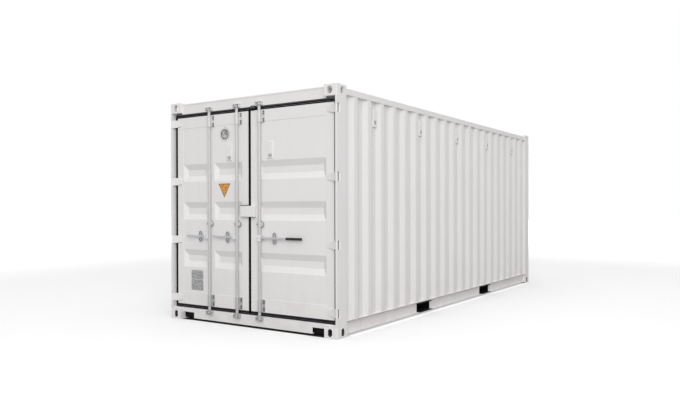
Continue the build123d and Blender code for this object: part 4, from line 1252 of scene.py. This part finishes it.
for number, (z0, z1) in enumerate(PLATE_LEVELS, start=1):
    outline = rounded(PLATE_X0, PLATE_X1, z0, z1, PLATE_ROUND)
    flat_piece(f"data_plate_{number}", outline, 0.0, PLATE_THICK, 0.0004, plate_metal)
    xs = (PLATE_X0 + FIELD_INSET_X, PLATE_X1 - FIELD_INSET_X)
    field = rounded(*xs, z0 + FIELD_INSET_Z, z1 - FIELD_INSET_Z, FIELD_ROUND)
    flat_piece(f"data_field_{number}", field, PLATE_THICK, FIELD_THICK, 0.0001, plate_metal)
    xs = (PLATE_X0 + RIVET_INSET, PLATE_X1 - RIVET_INSET)
    zs = (z0 + RIVET_INSET, z1 - RIVET_INSET)
    places = [(x, PANEL_FACE - PLATE_THICK, z) for x in xs for z in zs]
    scattered(f"plate_rivets_{number}", rivet, places, 3, "left_leaf", zinc)
outline = soft_corners(TRIANGLE, 0.012)
flat_piece("marker_triangle_edge", outline, 0.0, EDGE_THICK, 0.0002, marker_edge)
outline = soft_corners(inset(TRIANGLE, 0.007), 0.008)
flat_piece("marker_triangle_field", outline, EDGE_THICK, FIELD_THICK, 0.0001, marker_orange)
outline = oval(48, DISC_RINGS[0][0], DISC_RINGS[0][0], DISC_X, DISC_Z)
flat_piece("round_marker", outline, 0.0, DISC_THICK, 0.0002, disc_foil)
disc_face = PANEL_FACE - DISC_THICK
disc_front = disc_face - FIELD_THICK
for number, (outer, inner, foil) in enumerate(DISC_RINGS, start=1):
    profile = ((inner, disc_face), (inner, disc_front), (outer, disc_front), (outer, disc_face))
    rings = []
    for radius, y in profile:
        rings.append([(x, y, z) for x, z in oval(48, radius, radius, DISC_X, DISC_Z)])
    work, _ = skin(rings, closed=True)
    bmesh.ops.recalc_face_normals(work, faces=work.faces)
    name = f"round_marker_ring_{number}"
    add_piece(name, finished(work, name), "left_leaf", foil)
print("plates", len(PLATE_LEVELS), "rings on the marker", len(DISC_RINGS))

# %% [markdown]
# ## Ground, light and camera
# A plain pale floor and a white surround. The main light is a wide disc behind the camera, above
# it and a little to its right, so both faces are lit and each fold of the side wall that faces
# the doors is brighter than its neighbour. It stands near enough for the far end to be a little dimmer. A
# weaker one comes straight down, which brightens the slopes that face up and leaves a soft shadow
# round the foot.


# %% Floor and world
WHITE = (1.0, 1.0, 1.0, 1.0)
BLACK = (0.0, 0.0, 0.0, 1.0)
FLOOR_GLOW = 0.08
FLOOR_SIZE = 60.0
SURROUND_STRENGTH = 0.51


def floor_finish():
    """Matt white ground with a very faint grain, and black where the container keeps all light
    off. What it throws back on the container is dimmer, and far away it fades into white. A glowing strip
    beside the bottom rails is painted light, which thins the shadow line under them."""
    finish = Finish("studio_floor")
    cloud = finish.noise(1.5, 2.0)
    colour = finish.blend(cloud, (0.98, 0.98, 0.98, 1.0), (0.96, 0.96, 0.96, 1.0))
    across = finish.axis("X")
    along = finish.axis("Y")
    aside = across.most(0.0 - across)
    away = along.most(0.0 - along)
    covered = (1.0 - aside.rise(1.04, 1.10)) * (1.0 - away.rise(3.0, 3.02))
    colour = finish.blend(covered, colour, BLACK)
    far = aside.most(away).rise(6.0, 16.0)
    # Painted light: the floor beside the bottom rails glows a little, to lighten their shadow.
    beside = aside.rise(1.10, 1.14) * (1.0 - aside.rise(1.22, 1.30))
    painted_rail_light = beside * (1.0 - away.rise(2.75, 2.85))
    share = (FLOOR_GLOW + far * 0.5 + painted_rail_light * 0.3) * (1.0 - covered)
    values = {"Base Color": colour, "Roughness": 1.0, "Emission Strength": 1.0}
    values["Emission Color"] = finish.blend(share, BLACK, WHITE)
    pale = finish.add("ShaderNodeBsdfPrincipled", None, values)
    dim = finish.add("ShaderNodeBsdfDiffuse", None, {"Color": (0.45, 0.45, 0.45, 1.0)})
    seen = finish.add("ShaderNodeLightPath").out("Is Camera Ray")
    mixed = finish.add("ShaderNodeMixShader", None, {0: seen, 1: dim, 2: pale})
    finish.add("ShaderNodeOutputMaterial", None, {"Surface": mixed})
    return finish.material


work = bmesh.new()
bmesh.ops.create_grid(work, x_segments=2, y_segments=2, size=FLOOR_SIZE)
ground = shown("ground", finished(work, "ground"))
ground.data.materials.append(floor_finish())
ground.location.z = -0.0005

world = bpy.data.worlds.new("surround")
world.use_nodes = True
bpy.context.scene.world = world
sky = Graph(world.node_tree)
path = sky.add("ShaderNodeLightPath")
seen = path.out("Is Camera Ray").most(path.out("Is Glossy Ray"))
seen = seen.most(path.out("Is Transmission Ray"))
soft = sky.add("ShaderNodeBackground", None, {"Color": WHITE, "Strength": SURROUND_STRENGTH})
white = sky.add("ShaderNodeBackground", None, {"Color": WHITE, "Strength": 1.0})
mixed = sky.add("ShaderNodeMixShader", None, {0: seen, 1: soft, 2: white})
sky.add("ShaderNodeOutputWorld", None, {"Surface": mixed})
print("world", world.name)


# %% Lights and camera
def add_light(name, kind, place, source, **settings):
    """A light of some kind at a place. source points from what it lights towards it."""
    lamp = bpy.data.lights.new(name, kind)
    for setting, value in settings.items():
        setattr(lamp, setting, value)
    holder = shown(name, lamp)
    holder.location = place
    holder.rotation_euler = source.to_track_quat("Z", "Y").to_euler()


KEY_TARGET = Vector((1.2, -3.0, 1.2))
KEY_DISTANCE = 24.0
KEY_WIDTH = KEY_DISTANCE * 0.875
KEY_STRENGTH = 1.87
TOP_SPREAD = math.radians(70.0)
TOP_STRENGTH = 0.7
UP = Vector((0.0, 0.0, 1.0))
key_away = Vector((0.288, -0.365, 0.20)).normalized() * KEY_DISTANCE
key_power = KEY_STRENGTH * math.pi * KEY_DISTANCE**2
key_place = KEY_TARGET + key_away
add_light("key", "AREA", key_place, key_away, shape="DISK", size=KEY_WIDTH, energy=key_power)
add_light("top", "SUN", (0.0, 0.0, 0.0), UP, angle=TOP_SPREAD, energy=TOP_STRENGTH)

AZIMUTH = math.radians(33.9)
PITCH = math.radians(-0.25)
ROLL = math.radians(-0.13)
CAMERA_PLACE = (4.916, -8.477, 1.338)
FOCAL_LENGTH = 34.6
camera = bpy.data.cameras.new("camera")
camera.sensor_width = 36.0
camera.lens = FOCAL_LENGTH
camera.clip_end = 200.0
camera_object = shown("camera", camera)
turn = Matrix.Rotation(AZIMUTH, 4, "Z") @ Matrix.Rotation(math.pi / 2 + PITCH, 4, "X")
turn = turn @ Matrix.Rotation(ROLL, 4, "Z")
camera_object.matrix_world = Matrix.Translation(CAMERA_PLACE) @ turn
bpy.context.scene.camera = camera_object
bpy.context.scene.view_settings.view_transform = "Standard"
print("camera at", [round(v, 3) for v in camera_object.location])
